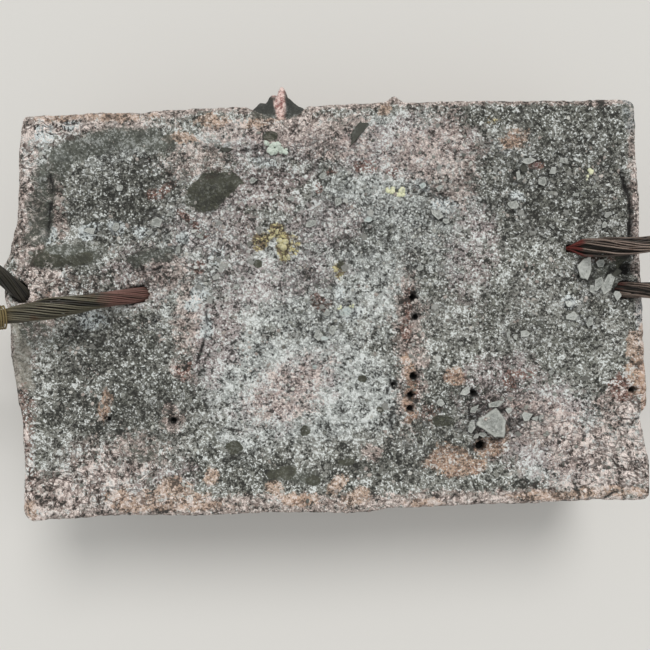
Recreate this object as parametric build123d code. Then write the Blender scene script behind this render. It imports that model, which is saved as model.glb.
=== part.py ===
from build123d import *
import math
import os

os.makedirs("parts", exist_ok=True)

# Open-cast copper block with a lifting loop of wire rope cast into each end of its face.
# Millimetres. X runs along the block, Y across it, Z up. The origin is in the middle of its underside.
# Places on the open face are given from the middle of the block, and heights from the level of its rim.

# Inside of the open mould that the block was poured in, measured at the rim
body_length = 972
body_width = 630
body_height = 222
draft_angle = 5
corner_radius = 18
bottom_radius = 14
foot_height = 30             # the walls of the mould are straight and true up to here

# Worn end wall of the mould, which gives the left end a blunt swelling
bulge_depth = 30
bulge_centre = 78
bulge_upper_reach = 120
bulge_lower_reach = 250

# Long sides, which the weight of the metal pushed out at the middle, and the right end, drawn in there
side_bow = 6
end_hollow = 4

# Place where metal ran over the rim of the mould: the dent that it left, a skirt of slag below it,
# a tongue of metal on the skirt, and a smaller bead further along the same side
dent_x = -72
dent_radius = 30
dent_depth = 18
skirt_x = -80
skirt_width = 92
skirt_reach = 42
skirt_height = 26
skirt_drop = 21
tongue_x = -72
tongue_width = 28
tongue_reach = 50
tongue_height = 18
tongue_drop = 18
bead_x = 95
bead_width = 36
bead_reach = 12
bead_height = 22
bead_drop = 0
root_share = 0.7             # how far the ovals start inside the wall, as a share of their reach
overflow_ovals = [           # share of the reach, of the size, and of the height by which the oval sinks
    (0, 1, 0),
    (0.5, 0.86, 0.12),
    (0.85, 0.55, 0.35),
    (1, 0.2, 0.5),
]

# Open face: what the metal did as it set
rim_rise = 5
rim_width = 70
bowl_depth = 7
bowl_fullness = 0.5          # below 1, the bowl is broad and level in its middle
plateau_x = -62
plateau_y = -104
plateau_length = 300
plateau_width = 230
plateau_rise = 6
plateau_edge = 60
ridge_x = 118
ridge_y = -78
ridge_length = 210
ridge_width = 60
ridge_rise = 7
trough_x = -200
trough_y = 60
trough_radius = 242
trough_width = 80
trough_depth = 5
dish_x = 320
dish_y = 150
dish_radius = 170
dish_depth = 5
flow_rise = 2
flow_length = 150
flow_slant = 0.4
face_margin = 30
face_columns = 42
face_rows = 27
face_tolerance = 0.3
side_stations = 9

# Swells that the metal set in, and three hollows: place, length, width, turn in degrees and height
swells = [
    (-187, 192, 116, 88, 25, 5),
    (-283, 86, 112, 62, 5, 5),
    (-415, 94, 140, 58, 5, 4),
    (-430, 180, 52, 150, 0, 4),
    (-213, 143, 66, 50, -40, 2.5),
    (32, 206, 104, 54, 0, 3.5),
    (291, 250, 84, 66, 0, 3.5),
    (318, 206, 96, 62, 0, 3),
    (426, 42, 128, 116, 0, 4.5),
    (460, -127, 88, 84, 0, 4),
    (430, -245, 180, 92, -30, 3.5),
    (245, -181, 100, 80, 0, 3),
    (177, -241, 130, 84, 10, 4.5),
    (28, -292, 92, 56, 0, 3.5),
    (-74, -293, 96, 56, 0, 3.5),
    (-194, -263, 84, 56, 60, 3),
    (-289, -287, 104, 56, 0, 3),
    (-309, -221, 96, 62, 0, 3.5),
    (-150, -248, 66, 62, 0, -3.5),
    (190, -150, 70, 66, 0, -3.5),
    (60, 120, 150, 70, 20, -3),
]

# Gas holes that broke through the skin: place, diameter and depth
gas_holes = [
    (126, 15, 9, 22),
    (130, -16, 8, 18),
    (124, -109, 10, 24),
    (92, -122, 7, 14),
    (119, -138, 8, 18),
    (117, -159, 7, 14),
    (229, -223, 13, 30),
    (218, -138, 9, 16),
    (-256, -169, 8, 16),
    (-356, -163, 7, 14),
    (462, -139, 8, 16),
    (-90, 272, 13, 20),
]
hole_taper = 0.6

# Shallow pits round the larger holes: place, diameter and depth
sunk_pits = [
    (233, -222, 50, 9),
    (442, -163, 26, 8),
    (-256, -169, 28, 4),
    (461, 56, 26, 12),
]

# Groove between the face and a thin fin of metal along the right end
groove_x = 466
groove_start_y = 96
groove_end_y = 206
groove_sweep = 7
groove_width = 9
groove_depth = 16

# Wire rope: loops pushed into the metal before it set, which shrank back a little round their necks
rope_diameter = 24
neck_gap = 3
neck_length = 34
bend_share = 0.45            # share of the shorter run that the arc at a corner takes
route_steps = 400            # fineness of the search for the place where a rope leaves the face

# Routes of the two ropes, from one cast-in end to the other
left_route = [
    (-222, 46, -76),
    (-277, 37, -25),
    (-336, 25, 18),
    (-408, 11, 58),
    (-492, -4, 80),
    (-584, -20, 93),
    (-630, 4, 96),
    (-648, 56, 92),
    (-622, 103, 83),
    (-569, 115, 67),
    (-512, 75, 42),
    (-486, 38, 4),
    (-472, 14, -42),
    (-464, -2, -92),
]
right_route = [
    (312, 90, -72),
    (364, 87, -28),
    (420, 83, 14),
    (474, 80, 38),
    (536, 93, 51),
    (596, 114, 55),
    (642, 96, 56),
    (662, 48, 56),
    (642, 0, 55),
    (596, -20, 53),
    (536, 0, 48),
    (490, 14, 28),
    (451, 18, -8),
    (417, 25, -60),
]


def smooth(x):
    """Step from 0 to 1 with level ends."""
    x = max(0.0, min(1.0, x))
    return x * x * (3 - 2 * x)


def hump(distance, reach):
    """1 at the crest, falling to 0 at the reach."""
    return 1 - smooth(abs(distance) / reach)


def bulge_at(y):
    """How far the worn end wall stands out at the rim."""
    reach = bulge_upper_reach if y > bulge_centre else bulge_lower_reach
    return bulge_depth * hump(y - bulge_centre, reach)


def inset_at(height):
    """How far the drafted walls stand in from the rim."""
    return (body_height - height) * math.tan(math.radians(draft_angle))


def outline_at(height):
    """Closed outline of the casting at one height: four sides joined by round corners."""
    share = (height - foot_height) / (body_height - foot_height)
    half_x = body_length / 2 - inset_at(height)
    half_y = body_width / 2 - inset_at(height)
    end_x = half_x - corner_radius
    end_y = half_y - corner_radius
    stations = [1 - 2 * i / (side_stations - 1) for i in range(side_stations)]
    left = [Vector(-half_x - share * bulge_at(s * end_y), s * end_y, height) for s in stations]
    right = [Vector(half_x - share * end_hollow * (1 - s * s), -s * end_y, height) for s in stations]
    front = [Vector(-s * end_x, -half_y - share * side_bow * (1 - s * s), height) for s in stations]
    back = [Vector(s * end_x, half_y + share * side_bow * (1 - s * s), height) for s in stations]
    runs = [left, front, right, back]
    headings = [Vector(0, -1, 0), Vector(1, 0, 0), Vector(0, 1, 0), Vector(-1, 0, 0)]
    edges = []
    for i, run in enumerate(runs):
        edges.append(Edge.make_spline(run))
        edges.append(Edge.make_tangent_arc(run[-1], headings[i], runs[(i + 1) % 4][0]))
    return Wire(edges)


def swell_at(x, y):
    """What the swells and hollows add to the open face."""
    height = 0
    for centre_x, centre_y, length, width, turn, rise in swells:
        angle = math.radians(turn)
        along = (x - centre_x) * math.cos(angle) + (y - centre_y) * math.sin(angle)
        across = (y - centre_y) * math.cos(angle) - (x - centre_x) * math.sin(angle)
        height += rise * hump(math.hypot(2 * along / length, 2 * across / width), 1)
    return height


def face_height(x, y):
    """Height of the open face above the underside."""
    half_x = body_length / 2
    half_y = body_width / 2
    from_rim = min(half_x - abs(x), half_y - abs(y))
    height = body_height
    height += rim_rise * (1 - smooth(from_rim / rim_width))
    height -= bowl_depth * (hump(x, half_x) * hump(y, half_y)) ** bowl_fullness
    along = smooth((plateau_length / 2 - abs(x - plateau_x)) / plateau_edge)
    across = smooth((plateau_width / 2 - abs(y - plateau_y)) / plateau_edge)
    height += plateau_rise * along * across
    height += ridge_rise * hump(x - ridge_x, ridge_width) * hump(y - ridge_y, ridge_length)
    from_trough = math.hypot(x - trough_x, y - trough_y) - trough_radius
    in_quarter = smooth((trough_x - x) / trough_width) * smooth((y - trough_y) / trough_width)
    height -= trough_depth * hump(from_trough, trough_width) * in_quarter
    height -= dish_depth * hump(math.hypot(x - dish_x, y - dish_y), dish_radius)
    height += flow_rise * math.sin(2 * math.pi * (flow_slant * x - y) / flow_length) * smooth(x / half_x)
    return height + swell_at(x, y)


def open_face():
    """Wavy surface of the open face, a little larger than the casting all round."""
    span_x = body_length + 2 * (bulge_depth + face_margin)
    span_y = body_width + 2 * (side_bow + face_margin)
    points = []
    for row in range(face_rows + 1):
        y = span_y * (row / face_rows - 0.5)
        xs = [span_x * (column / face_columns - 0.5) for column in range(face_columns + 1)]
        points.append([Vector(x, y, face_height(x, y)) for x in xs])
    return Face.make_surface_from_array_of_points(points, tol=face_tolerance)


def run_over(x, width, reach, thickness, drop):
    """Metal that crept over the rim and hung on the side: ovals that shrink and sink as they go out."""
    wall = body_width / 2
    middle_height = body_height - drop - thickness / 2
    sections = []
    for out, size, sink in [(-root_share, 1, 0), *overflow_ovals]:
        middle = Vector(x, wall + out * reach, middle_height - sink * thickness)
        plane = Plane(origin=middle, x_dir=(1, 0, 0), z_dir=(0, 1, 0))
        sections.append(plane * Ellipse(size * width / 2, size * thickness / 2))
    return loft(sections)


def tapered_hole(x, y, diameter, depth):
    """Gas hole, wider at its mouth, standing a little through the face."""
    mouth = diameter / 2
    foot = mouth * hole_taper
    flare = (mouth - foot) / depth
    rise = rim_rise + diameter
    base = Plane(origin=(x, y, face_height(x, y) - depth))
    return Solid.make_cone(foot, mouth + flare * rise, depth + rise, base)


def sunk_pit(x, y, diameter, depth):
    """Shallow round pit, a cap of a ball."""
    radius = (diameter ** 2 / 4 + depth ** 2) / (2 * depth)
    return Pos(x, y, face_height(x, y) - depth + radius) * Sphere(radius)


def rim_groove():
    """Crescent groove, pointed at both ends."""
    middle_y = (groove_start_y + groove_end_y) / 2
    start = Vector(groove_x, groove_start_y)
    end = Vector(groove_x, groove_end_y)
    inner = ThreePointArc(start, Vector(groove_x + groove_sweep - groove_width, middle_y), end)
    outer = ThreePointArc(end, Vector(groove_x + groove_sweep, middle_y), start)
    floor = body_height - groove_depth
    return Pos(0, 0, floor) * extrude(make_face([inner, outer]), groove_depth + rim_rise + face_margin)


def rope_path(route):
    """Straight runs joined by arcs as large as the runs allow."""
    points = [Vector(x, y, body_height + z) for x, y, z in route]
    radii = []
    for before, corner, after in zip(points, points[1:], points[2:]):
        turn = math.radians((corner - before).get_angle(after - corner))
        shorter_run = min((corner - before).length, (after - corner).length)
        radii.append(bend_share * shorter_run / math.tan(turn / 2))
    return FilletPolyline(*points, radius=radii)


def tube_along(path, diameter):
    """Round tube along a path."""
    section = Plane(origin=path @ 0, z_dir=path % 0) * Circle(diameter / 2)
    return sweep(section, path=path)


def neck_of(path, share):
    """Wider neck of a socket where the rope crosses the face."""
    place = path @ share
    way = path % share
    base = Plane(origin=place - way * neck_length / 2, z_dir=way)
    return Solid.make_cylinder(rope_diameter / 2 + neck_gap, neck_length, base)


def crossing(path, backwards):
    """Share of the path where the rope crosses the open face, searched from one end."""
    for step in range(route_steps // 2):
        share = 1 - step / route_steps if backwards else step / route_steps
        place = path @ share
        if place.Z > face_height(place.X, place.Y):
            return share
    raise ValueError("the rope never leaves the metal")


def cast_body():
    """The casting: drafted sides, round lower edges, open face and the metal that ran over."""
    head_room = rim_rise + face_margin
    foot_inset = 2 * inset_at(foot_height)
    foot_outline = RectangleRounded(body_length - foot_inset, body_width - foot_inset, corner_radius)
    foot = Pos(0, 0, foot_height) * extrude(foot_outline, -foot_height, taper=draft_angle)
    foot = fillet(foot.faces().sort_by(Axis.Z)[0].edges(), bottom_radius)
    walls = Solid.make_loft([outline_at(foot_height), outline_at(body_height + head_room)], ruled=True)
    above = Solid.extrude(open_face(), Vector(0, 0, body_height))
    body = foot + (walls - above)
    body += run_over(skirt_x, skirt_width, skirt_reach, skirt_height, skirt_drop)
    body += run_over(tongue_x, tongue_width, tongue_reach, tongue_height, tongue_drop)
    body += run_over(bead_x, bead_width, bead_reach, bead_height, bead_drop)
    dent_y = body_width / 2 - dent_depth + dent_radius
    body -= Pos(dent_x, dent_y, body_height) * Sphere(dent_radius)
    return body


left_path = rope_path(left_route)
right_path = rope_path(right_route)
left_rope = tube_along(left_path, rope_diameter)
right_rope = tube_along(right_path, rope_diameter)

ingot = cast_body()
for path, rope in ((left_path, left_rope), (right_path, right_rope)):
    ingot -= rope
    for backwards in (False, True):
        ingot -= neck_of(path, crossing(path, backwards))
for pit in sunk_pits:
    ingot -= sunk_pit(*pit)
for hole in gas_holes:
    ingot -= tapered_hole(*hole)
ingot -= rim_groove()

for name, solid in (("ingot", ingot), ("lifting_rope_left", left_rope), ("lifting_rope_right", right_rope)):
    export_step(solid, f"parts/{name}.step")
    print(name, len(solid.solids()), round(solid.volume / 1e6, 3), "litres")
for path, rope in ((left_path, left_rope), (right_path, right_rope)):
    section_times_length = math.pi * rope_diameter ** 2 / 4 * path.length
    print("rope length", round(path.length), "volume over section times length",
          round(rope.volume / section_times_length, 4))
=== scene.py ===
import math
import bpy
import numpy as np
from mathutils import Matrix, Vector


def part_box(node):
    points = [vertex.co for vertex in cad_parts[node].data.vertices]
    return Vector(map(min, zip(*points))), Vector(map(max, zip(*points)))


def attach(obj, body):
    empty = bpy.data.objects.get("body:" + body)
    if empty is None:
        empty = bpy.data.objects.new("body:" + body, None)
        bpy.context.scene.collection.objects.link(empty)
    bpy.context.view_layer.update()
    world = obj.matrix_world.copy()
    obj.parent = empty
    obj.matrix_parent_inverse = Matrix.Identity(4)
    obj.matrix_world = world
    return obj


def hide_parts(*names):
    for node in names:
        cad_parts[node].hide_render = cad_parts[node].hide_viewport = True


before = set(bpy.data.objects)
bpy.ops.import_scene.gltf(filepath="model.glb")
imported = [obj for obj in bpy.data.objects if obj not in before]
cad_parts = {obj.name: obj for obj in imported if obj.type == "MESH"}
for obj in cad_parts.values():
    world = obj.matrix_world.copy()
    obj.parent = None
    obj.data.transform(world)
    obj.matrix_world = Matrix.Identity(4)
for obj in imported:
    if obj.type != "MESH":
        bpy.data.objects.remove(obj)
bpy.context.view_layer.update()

millimetre = 0.001


# Small helpers

def tint(red, green, blue):
    linear = []
    for channel in (red / 255, green / 255, blue / 255):
        linear.append(((channel + 0.055) / 1.055) ** 2.4 if channel > 0.04045 else channel / 12.92)
    return (*linear, 1.0)


def ease(x):
    x = np.clip(x, 0, 1)
    return x * x * (3 - 2 * x)


def hump(distance, reach):
    return 1 - ease(np.abs(distance) / reach)


def latticeNoise(x, y, cell, seed):  # smooth noise from -1 to 1 on a lattice of that cell size
    table = np.random.default_rng(seed).random((128, 128)) * 2 - 1
    u, v = np.asarray(x) / cell + 64, np.asarray(y) / cell + 64
    iu, iv = np.floor(u).astype(int), np.floor(v).astype(int)
    fu, fv = u - iu, v - iv
    fu, fv = fu * fu * (3 - 2 * fu), fv * fv * (3 - 2 * fv)
    low = table[iu % 128, iv % 128] * (1 - fu) + table[(iu + 1) % 128, iv % 128] * fu
    high = table[iu % 128, (iv + 1) % 128] * (1 - fu) + table[(iu + 1) % 128, (iv + 1) % 128] * fu
    return low * (1 - fv) + high * fv


def layeredNoise(x, y, cell, layers, seed):
    total, weight = 0, 0
    for layer in range(layers):
        share = 0.55 ** layer
        turn = 0.7 * layer  # turned layers hide the lattice
        tx = x * math.cos(turn) - y * math.sin(turn)
        ty = x * math.sin(turn) + y * math.cos(turn)
        total = total + share * latticeNoise(tx, ty, cell / 2 ** layer, seed + 17 * layer)
        weight += share
    return total / weight


def turned(x, y, degrees):  # place in axes turned by that angle
    a = math.radians(degrees)
    return x * math.cos(a) + y * math.sin(a), y * math.cos(a) - x * math.sin(a)


def lineDistance(x, y, points):  # distance to a run of points, and how far along it, 0 to 1
    best = np.full(np.shape(x), 1e9)
    along = np.zeros(np.shape(x))
    spans = [math.dist(a, b) for a, b in zip(points, points[1:])]
    gone = 0
    for (ax, ay), (bx, by), span in zip(points, points[1:], spans):
        t = np.clip(((x - ax) * (bx - ax) + (y - ay) * (by - ay)) / span ** 2, 0, 1)
        d = np.hypot(x - ax - t * (bx - ax), y - ay - t * (by - ay))
        closer = d < best
        best = np.where(closer, d, best)
        along = np.where(closer, (gone + t * span) / sum(spans), along)
        gone += span
    return best, along


def lineLength(points):
    return sum(math.dist(a, b) for a, b in zip(points, points[1:]))


def linkObject(name, data):
    made = bpy.data.objects.new(name, data)
    bpy.context.scene.collection.objects.link(made)
    return made


def meshObject(name, vertices, faces, material=None, edges=()):
    mesh = bpy.data.meshes.new(name)
    mesh.from_pydata([tuple(v) for v in vertices], list(edges), [tuple(f) for f in faces])
    mesh.update()
    if material:
        mesh.materials.append(material)
    return linkObject(name, mesh)


def addAttribute(mesh, name, values):
    attribute = mesh.attributes.new(name, "FLOAT", "POINT")
    attribute.data.foreach_set("value", np.asarray(values, np.float32))


def shadeSmooth(made):
    made.data.polygons.foreach_set("use_smooth", [True] * len(made.data.polygons))


def evaluatedMesh(source, name):  # plain mesh of what the modifiers make
    bpy.context.view_layer.update()
    depsgraph = bpy.context.evaluated_depsgraph_get()
    mesh = bpy.data.meshes.new_from_object(source.evaluated_get(depsgraph), depsgraph=depsgraph)
    mesh.name = name
    return mesh


def finishPiece(made, nodes=()):
    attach(made, "root")
    if nodes:
        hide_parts(*nodes)
    print("piece", made.name, len(made.data.vertices), "points")


# Camera, as the photograph was taken: from straight above, with the front of the block at its lower edge

camera = {"place": (-0.013, -0.043, 1.222), "lean": 1.03, "roll": -1.6, "view": 54.0}


def makeCamera():
    data = bpy.data.cameras.new("camera")
    data.sensor_fit = "HORIZONTAL"
    data.angle = math.radians(camera["view"])
    data.clip_start = 0.01
    made = linkObject("camera", data)
    made.location = camera["place"]
    made.rotation_euler = (math.radians(camera["lean"]), 0, math.radians(camera["roll"]))
    bpy.context.scene.camera = made


makeCamera()
print("camera placed")


# Node helpers

socketKinds = {"number": "NodeSocketFloat", "count": "NodeSocketInt", "colour": "NodeSocketColor",
               "shape": "NodeSocketGeometry", "finish": "NodeSocketMaterial"}


def setSockets(node, values):  # links each socket or sets its value
    for key, value in values.items():
        if isinstance(value, bpy.types.NodeSocket):
            node.id_data.links.new(value, node.inputs[key])
        else:
            node.inputs[key].default_value = value


def addNode(tree, kind, values=None, **settings):
    made = tree.nodes.new(kind)
    for key, value in settings.items():
        setattr(made, key, value)
    setSockets(made, values or {})
    return made


def treeOf(*values):  # the node tree of the first socket among the values
    return next(value.id_data for value in values if isinstance(value, bpy.types.NodeSocket))


def mathNode(operation, *values, clamp=False):
    tree, values = treeOf(*values), dict(enumerate(values))
    return addNode(tree, "ShaderNodeMath", values, operation=operation, use_clamp=clamp).outputs[0]


def chainNode(operation, values):
    total = values[0]
    for value in values[1:]:
        total = mathNode(operation, total, value)
    return total


def plus(*values):
    return chainNode("ADD", values)


def minus(*values):
    return chainNode("SUBTRACT", values)


def times(*values):
    return chainNode("MULTIPLY", values)


def largest(*values):
    return chainNode("MAXIMUM", values)


def swing(value, amount):  # moves a noise of 0 to 1 round zero, then scales it
    return times(minus(value, 0.5), amount)


def vectorNode(operation, first, second):
    values = {0: first, 3 if operation == "SCALE" else 1: second}
    return addNode(treeOf(first, second), "ShaderNodeVectorMath", values, operation=operation).outputs[0]


def noiseNode(vector, scale, detail=2.0, roughness=0.5, output="Fac"):
    values = {"Vector": vector, "Scale": scale, "Detail": detail, "Roughness": roughness}
    return addNode(vector.id_data, "ShaderNodeTexNoise", values).outputs[output]


def cellTone(vector, scale):  # one random tone for each cell
    cells = addNode(vector.id_data, "ShaderNodeTexVoronoi", {"Vector": vector, "Scale": scale})
    return addNode(vector.id_data, "ShaderNodeSeparateColor", {0: cells.outputs["Color"]}).outputs[0]


def stretched(vector, turn, scale):
    values = {"Vector": vector, "Rotation": (0, 0, turn), "Scale": scale}
    return addNode(vector.id_data, "ShaderNodeMapping", values).outputs[0]


def rangeNode(value, low, high, toLow=0.0, toHigh=1.0, smooth=True):
    values = {"Value": value, "From Min": low, "From Max": high, "To Min": toLow, "To Max": toHigh}
    kind = "SMOOTHSTEP" if smooth else "LINEAR"
    return addNode(value.id_data, "ShaderNodeMapRange", values, interpolation_type=kind).outputs["Result"]


def mixNode(share, first, second, blend="MIX"):
    tree, values = treeOf(share, first, second), {0: share, 6: first, 7: second}
    made = addNode(tree, "ShaderNodeMix", values, data_type="RGBA", blend_type=blend, clamp_factor=True)
    return made.outputs[2]


def greyed(colour, value):  # makes a colour darker or lighter
    grey = addNode(value.id_data, "ShaderNodeCombineColor", {0: value, 1: value, 2: value}).outputs[0]
    return mixNode(1.0, colour, grey, "MULTIPLY")


def objectPlace(tree):
    return tree.nodes.new("ShaderNodeTexCoord").outputs["Object"]


def maskOf(tree, name):
    return addNode(tree, "ShaderNodeAttribute", attribute_name=name).outputs["Fac"]


def newGroup(name, kind, inputs, outputs):  # inputs: label, kind and value; outputs: labels of one kind
    tree = bpy.data.node_groups.new(name, kind)
    for label, socketKind, *value in inputs:
        socket = tree.interface.new_socket(label, in_out="INPUT", socket_type=socketKinds[socketKind])
        if value:
            socket.default_value = value[0]
    for socketKind, labels in outputs.items():
        for label in labels:
            tree.interface.new_socket(label, in_out="OUTPUT", socket_type=socketKinds[socketKind])
    return tree, tree.nodes.new("NodeGroupInput").outputs, tree.nodes.new("NodeGroupOutput")


def placeGroup(tree, group, **values):
    made = tree.nodes.new("ShaderNodeGroup")
    made.node_tree = group
    setSockets(made, values)
    return made.outputs


def newMaterial(name):
    material = bpy.data.materials.new(name)
    material.use_nodes = True
    tree = material.node_tree
    tree.nodes.clear()
    output = tree.nodes.new("ShaderNodeOutputMaterial")
    shader = tree.nodes.new("ShaderNodeBsdfPrincipled")
    tree.links.new(shader.outputs[0], output.inputs["Surface"])
    return material, tree, shader


def finishShader(shader, colour, roughness, height=None, strength=0.4, depth=0.5, **more):
    setSockets(shader, {"Base Color": colour, "Roughness": roughness})
    setSockets(shader, {key.replace("_", " "): value for key, value in more.items()})
    if height is not None:
        values = {"Height": height, "Strength": strength, "Distance": depth * millimetre}
        setSockets(shader, {"Normal": addNode(shader.id_data, "ShaderNodeBump", values).outputs[0]})


# Effects that several materials share

def paintedFoldLines(scaled):  # contour lines of a slanted noise, painted as highlight lines, each with a painted shade line below it
    sway = vectorNode("SCALE", noiseNode(scaled, 14.0, output="Color"), 0.06)
    slanted = stretched(vectorNode("ADD", scaled, sway), -0.6, (0.36, 1.0, 1.0))
    phase = mathNode("FRACT", times(noiseNode(slanted, 56.0, 1.6), 4.0))
    foldHighlight = rangeNode(mathNode("ABSOLUTE", minus(phase, 0.5)), 0.14, 0.05)
    creaseShade = rangeNode(mathNode("ABSOLUTE", minus(phase, 0.72)), 0.13, 0.05)
    return foldHighlight, creaseShade


def crystalGroup():  # granular oxide: pale crystal flecks that also serve as painted glints, painted shade in the dark gaps between them, and their height
    tree, given, out = newGroup(
        "crystalCrust", "ShaderNodeTree",
        [("Scale", "number", 1.0), ("Flecks", "number", 0.5), ("Slant", "number", 0.5)],
        {"number": ["FleckAndGlint", "GapShade", "Tone", "Height", "FoldHighlight", "CreaseShade"]})
    scaled = vectorNode("SCALE", objectPlace(tree), given["Scale"])
    bend = vectorNode("SUBTRACT", noiseNode(scaled, 150.0, 3.0, output="Color"), (0.5, 0.5, 0.5))
    bent = vectorNode("ADD", scaled, vectorNode("SCALE", bend, 0.006))
    grain = noiseNode(scaled, 300.0, 3.0, 0.7)
    strokes = noiseNode(stretched(bent, 0.4, (1.0, 0.34, 1.0)), 300.0, 1.5, 0.55)
    clods = noiseNode(scaled, 120.0, 3.0, 0.6)
    cloud = noiseNode(scaled, 42.0, 3.0, 0.6)
    large, small = cellTone(bent, 250.0), cellTone(bent, 480.0)
    crystals = plus(times(large, 0.6), times(small, 0.4))
    # one value for the crust, from -1 to 1 or so: grains or strokes, clods of them, and odd crystals
    values = {0: given["Slant"], 2: grain, 3: strokes}
    texture = addNode(tree, "ShaderNodeMix", values, data_type="FLOAT").outputs[0]
    level = plus(swing(texture, 4.4), swing(crystals, 3.0), swing(clods, 3.4),
                 swing(cloud, 3.4), swing(given["Flecks"], 1.6))
    # painted glints on some of the small crystals
    glint = times(rangeNode(small, 0.84, 0.9), rangeNode(level, -0.1, 0.5))
    foldHighlight, creaseShade = paintedFoldLines(scaled)
    setSockets(out, {
        "FleckAndGlint": largest(rangeNode(level, 0.45, 1.15), glint),
        "GapShade": rangeNode(level, -0.35, -1.0),
        "Tone": plus(times(cloud, 0.4), times(clods, 0.3), times(grain, 0.3)),
        "Height": times(level, 0.8), "FoldHighlight": foldHighlight, "CreaseShade": creaseShade})
    return tree


def raggedGroup():  # turns a soft mask into a patch with a broken edge
    tree, given, out = newGroup(
        "raggedEdge", "ShaderNodeTree",
        [("Mask", "number", 0.0), ("Crumbs", "number", 0.5), ("Break", "number", 0.8),
         ("Blur", "number", 0.12), ("Scale", "number", 150.0)],
        {"number": ["Mask"]})
    noise = noiseNode(objectPlace(tree), given["Scale"], 5.0, 0.7)
    uneven = plus(swing(noise, 2.0), swing(given["Crumbs"], 1.0))
    broken = times(uneven, given["Break"])
    low, high = minus(0.5, given["Blur"]), plus(0.5, given["Blur"])
    edge = rangeNode(plus(given["Mask"], broken), low, high)
    setSockets(out, {"Mask": times(edge, rangeNode(given["Mask"], 0.02, 0.15))})
    return tree


def clodGroup():  # crumbly crust: angular clods, each of its own tone, with painted shade in the dark gaps round them
    tree, given, out = newGroup("clodCrust", "ShaderNodeTree", [("Scale", "number", 120.0)],
                                {"number": ["GapShade", "Tone", "Height"]})
    place = objectPlace(tree)
    bend = vectorNode("SCALE", noiseNode(place, 130.0, 3.0, 0.7, "Color"), 0.013)
    values = {"Vector": vectorNode("ADD", place, bend), "Scale": given["Scale"]}
    edge = addNode(tree, "ShaderNodeTexVoronoi", values, feature="DISTANCE_TO_EDGE").outputs["Distance"]
    width = rangeNode(noiseNode(place, 60.0, 3.0), 0.35, 0.62, 0.0, 0.2)
    setSockets(out, {
        "GapShade": rangeNode(edge, width, times(width, 0.3)),
        "Tone": cellTone(values["Vector"], given["Scale"]), "Height": rangeNode(edge, 0.0, 0.25)})
    return tree


def scorchGroup():  # heat tint, oil and rust that lie in clouds along a wire
    tree, given, out = newGroup(
        "scorch", "ShaderNodeTree",
        [("Base", "colour", (0.1, 0.1, 0.1, 1)), ("Stain", "colour", (0.1, 0.05, 0.02, 1)),
         ("Amount", "number", 0.5), ("Scale", "number", 60.0)],
        {"colour": ["Color"], "number": ["Mask"]})
    cloud = noiseNode(objectPlace(tree), given["Scale"], 6.0, 0.7)
    level = minus(0.8, times(given["Amount"], 0.6))
    mask = rangeNode(cloud, minus(level, 0.12), plus(level, 0.12))
    setSockets(out, {"Color": mixNode(mask, given["Base"], given["Stain"]), "Mask": mask})
    return tree


crystalCrust = crystalGroup()
raggedEdge = raggedGroup()
scorch = scorchGroup()
clodCrust = clodGroup()
print("shared effects built")


# Ropes: routes as in the model, millimetres from the middle of the block and from the level of its rim

ropeLevel = 222.0
leftRope = {
    "route": [(-277, 37, -34), (-336, 25, 18), (-408, 11, 58), (-492, -4, 80), (-584, -20, 93),
              (-630, 4, 96), (-648, 56, 92), (-622, 103, 83), (-569, 115, 67), (-512, 75, 42),
              (-486, 38, 4), (-472, 14, -42)],
    "diameter": 24.0, "wires": 22, "wireRadius": 1.32, "layLength": 270.0, "step": 5.0, "sides": 6,
    "wander": 0.7, "splay": 0.34, "splayPlace": 0.23, "splayReach": 0.1, "pinch": 0.2, "pinchPlace": 0.335,
    "pinchReach": 0.04, "cross": 0.0, "seed": 3,
}
rightRope = {
    "route": [(364, 87, -20), (420, 83, 14), (474, 80, 38), (536, 93, 51), (596, 114, 55), (642, 96, 56),
              (662, 48, 56), (642, 0, 55), (596, -20, 53), (536, 0, 48), (490, 14, 28), (451, 18, -8),
              (417, 25, -60)],
    "diameter": 24.0, "wires": 24, "wireRadius": 1.15, "layLength": 420.0, "step": 4.0, "sides": 6,
    "wander": 1.9, "splay": 0.38, "splayPlace": 0.1, "splayReach": 0.1, "pinch": 0.88, "pinchPlace": 0.015,
    "pinchReach": 0.05, "cross": 0.3, "seed": 8,
}


def routePoints(name, settings):  # points of a smooth spline through the given route
    data = bpy.data.curves.new(name, "CURVE")
    data.dimensions = "3D"
    data.resolution_u = 24
    spline = data.splines.new("NURBS")
    spline.points.add(len(settings["route"]) - 1)
    for point, (x, y, z) in zip(spline.points, settings["route"]):
        point.co = (x * millimetre, y * millimetre, (z + ropeLevel) * millimetre, 1)
    spline.order_u = 3
    spline.use_endpoint_u = True
    curve = linkObject(name, data)
    bpy.context.view_layer.update()
    mesh = bpy.data.meshes.new_from_object(curve)
    points = [tuple(v.co) for v in mesh.vertices]
    bpy.data.meshes.remove(mesh)
    bpy.data.objects.remove(curve)
    return points


leftLine = routePoints("leftRoute", leftRope)
rightLine = routePoints("rightRoute", rightRope)
print("rope lengths", round(lineLength(leftLine), 3), round(lineLength(rightLine), 3))


def storeValue(shape, name, value, domain="POINT"):
    values = {"Geometry": shape, "Name": name, "Value": value}
    made = addNode(shape.id_data, "GeometryNodeStoreNamedAttribute", values, data_type="FLOAT", domain=domain)
    return made.outputs[0]


def bumpAlong(factor, place, reach):  # 1 at that share of the rope, falling to 0 at the reach
    away = mathNode("DIVIDE", minus(factor, place), reach)
    return rangeNode(mathNode("ABSOLUTE", away), 1.0, 0.0)


def layAngle(given, index, length, random):  # where each wire stands round the rope
    crossing = mathNode("LESS_THAN", random, given["Cross"])  # some lie across the others
    handed = minus(1.0, times(crossing, 1.7))
    turns = mathNode("DIVIDE", times(length, handed), given["Lay Length"])
    share = mathNode("DIVIDE", index, given["Wires"])
    return times(plus(turns, share), 2 * math.pi)


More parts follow.
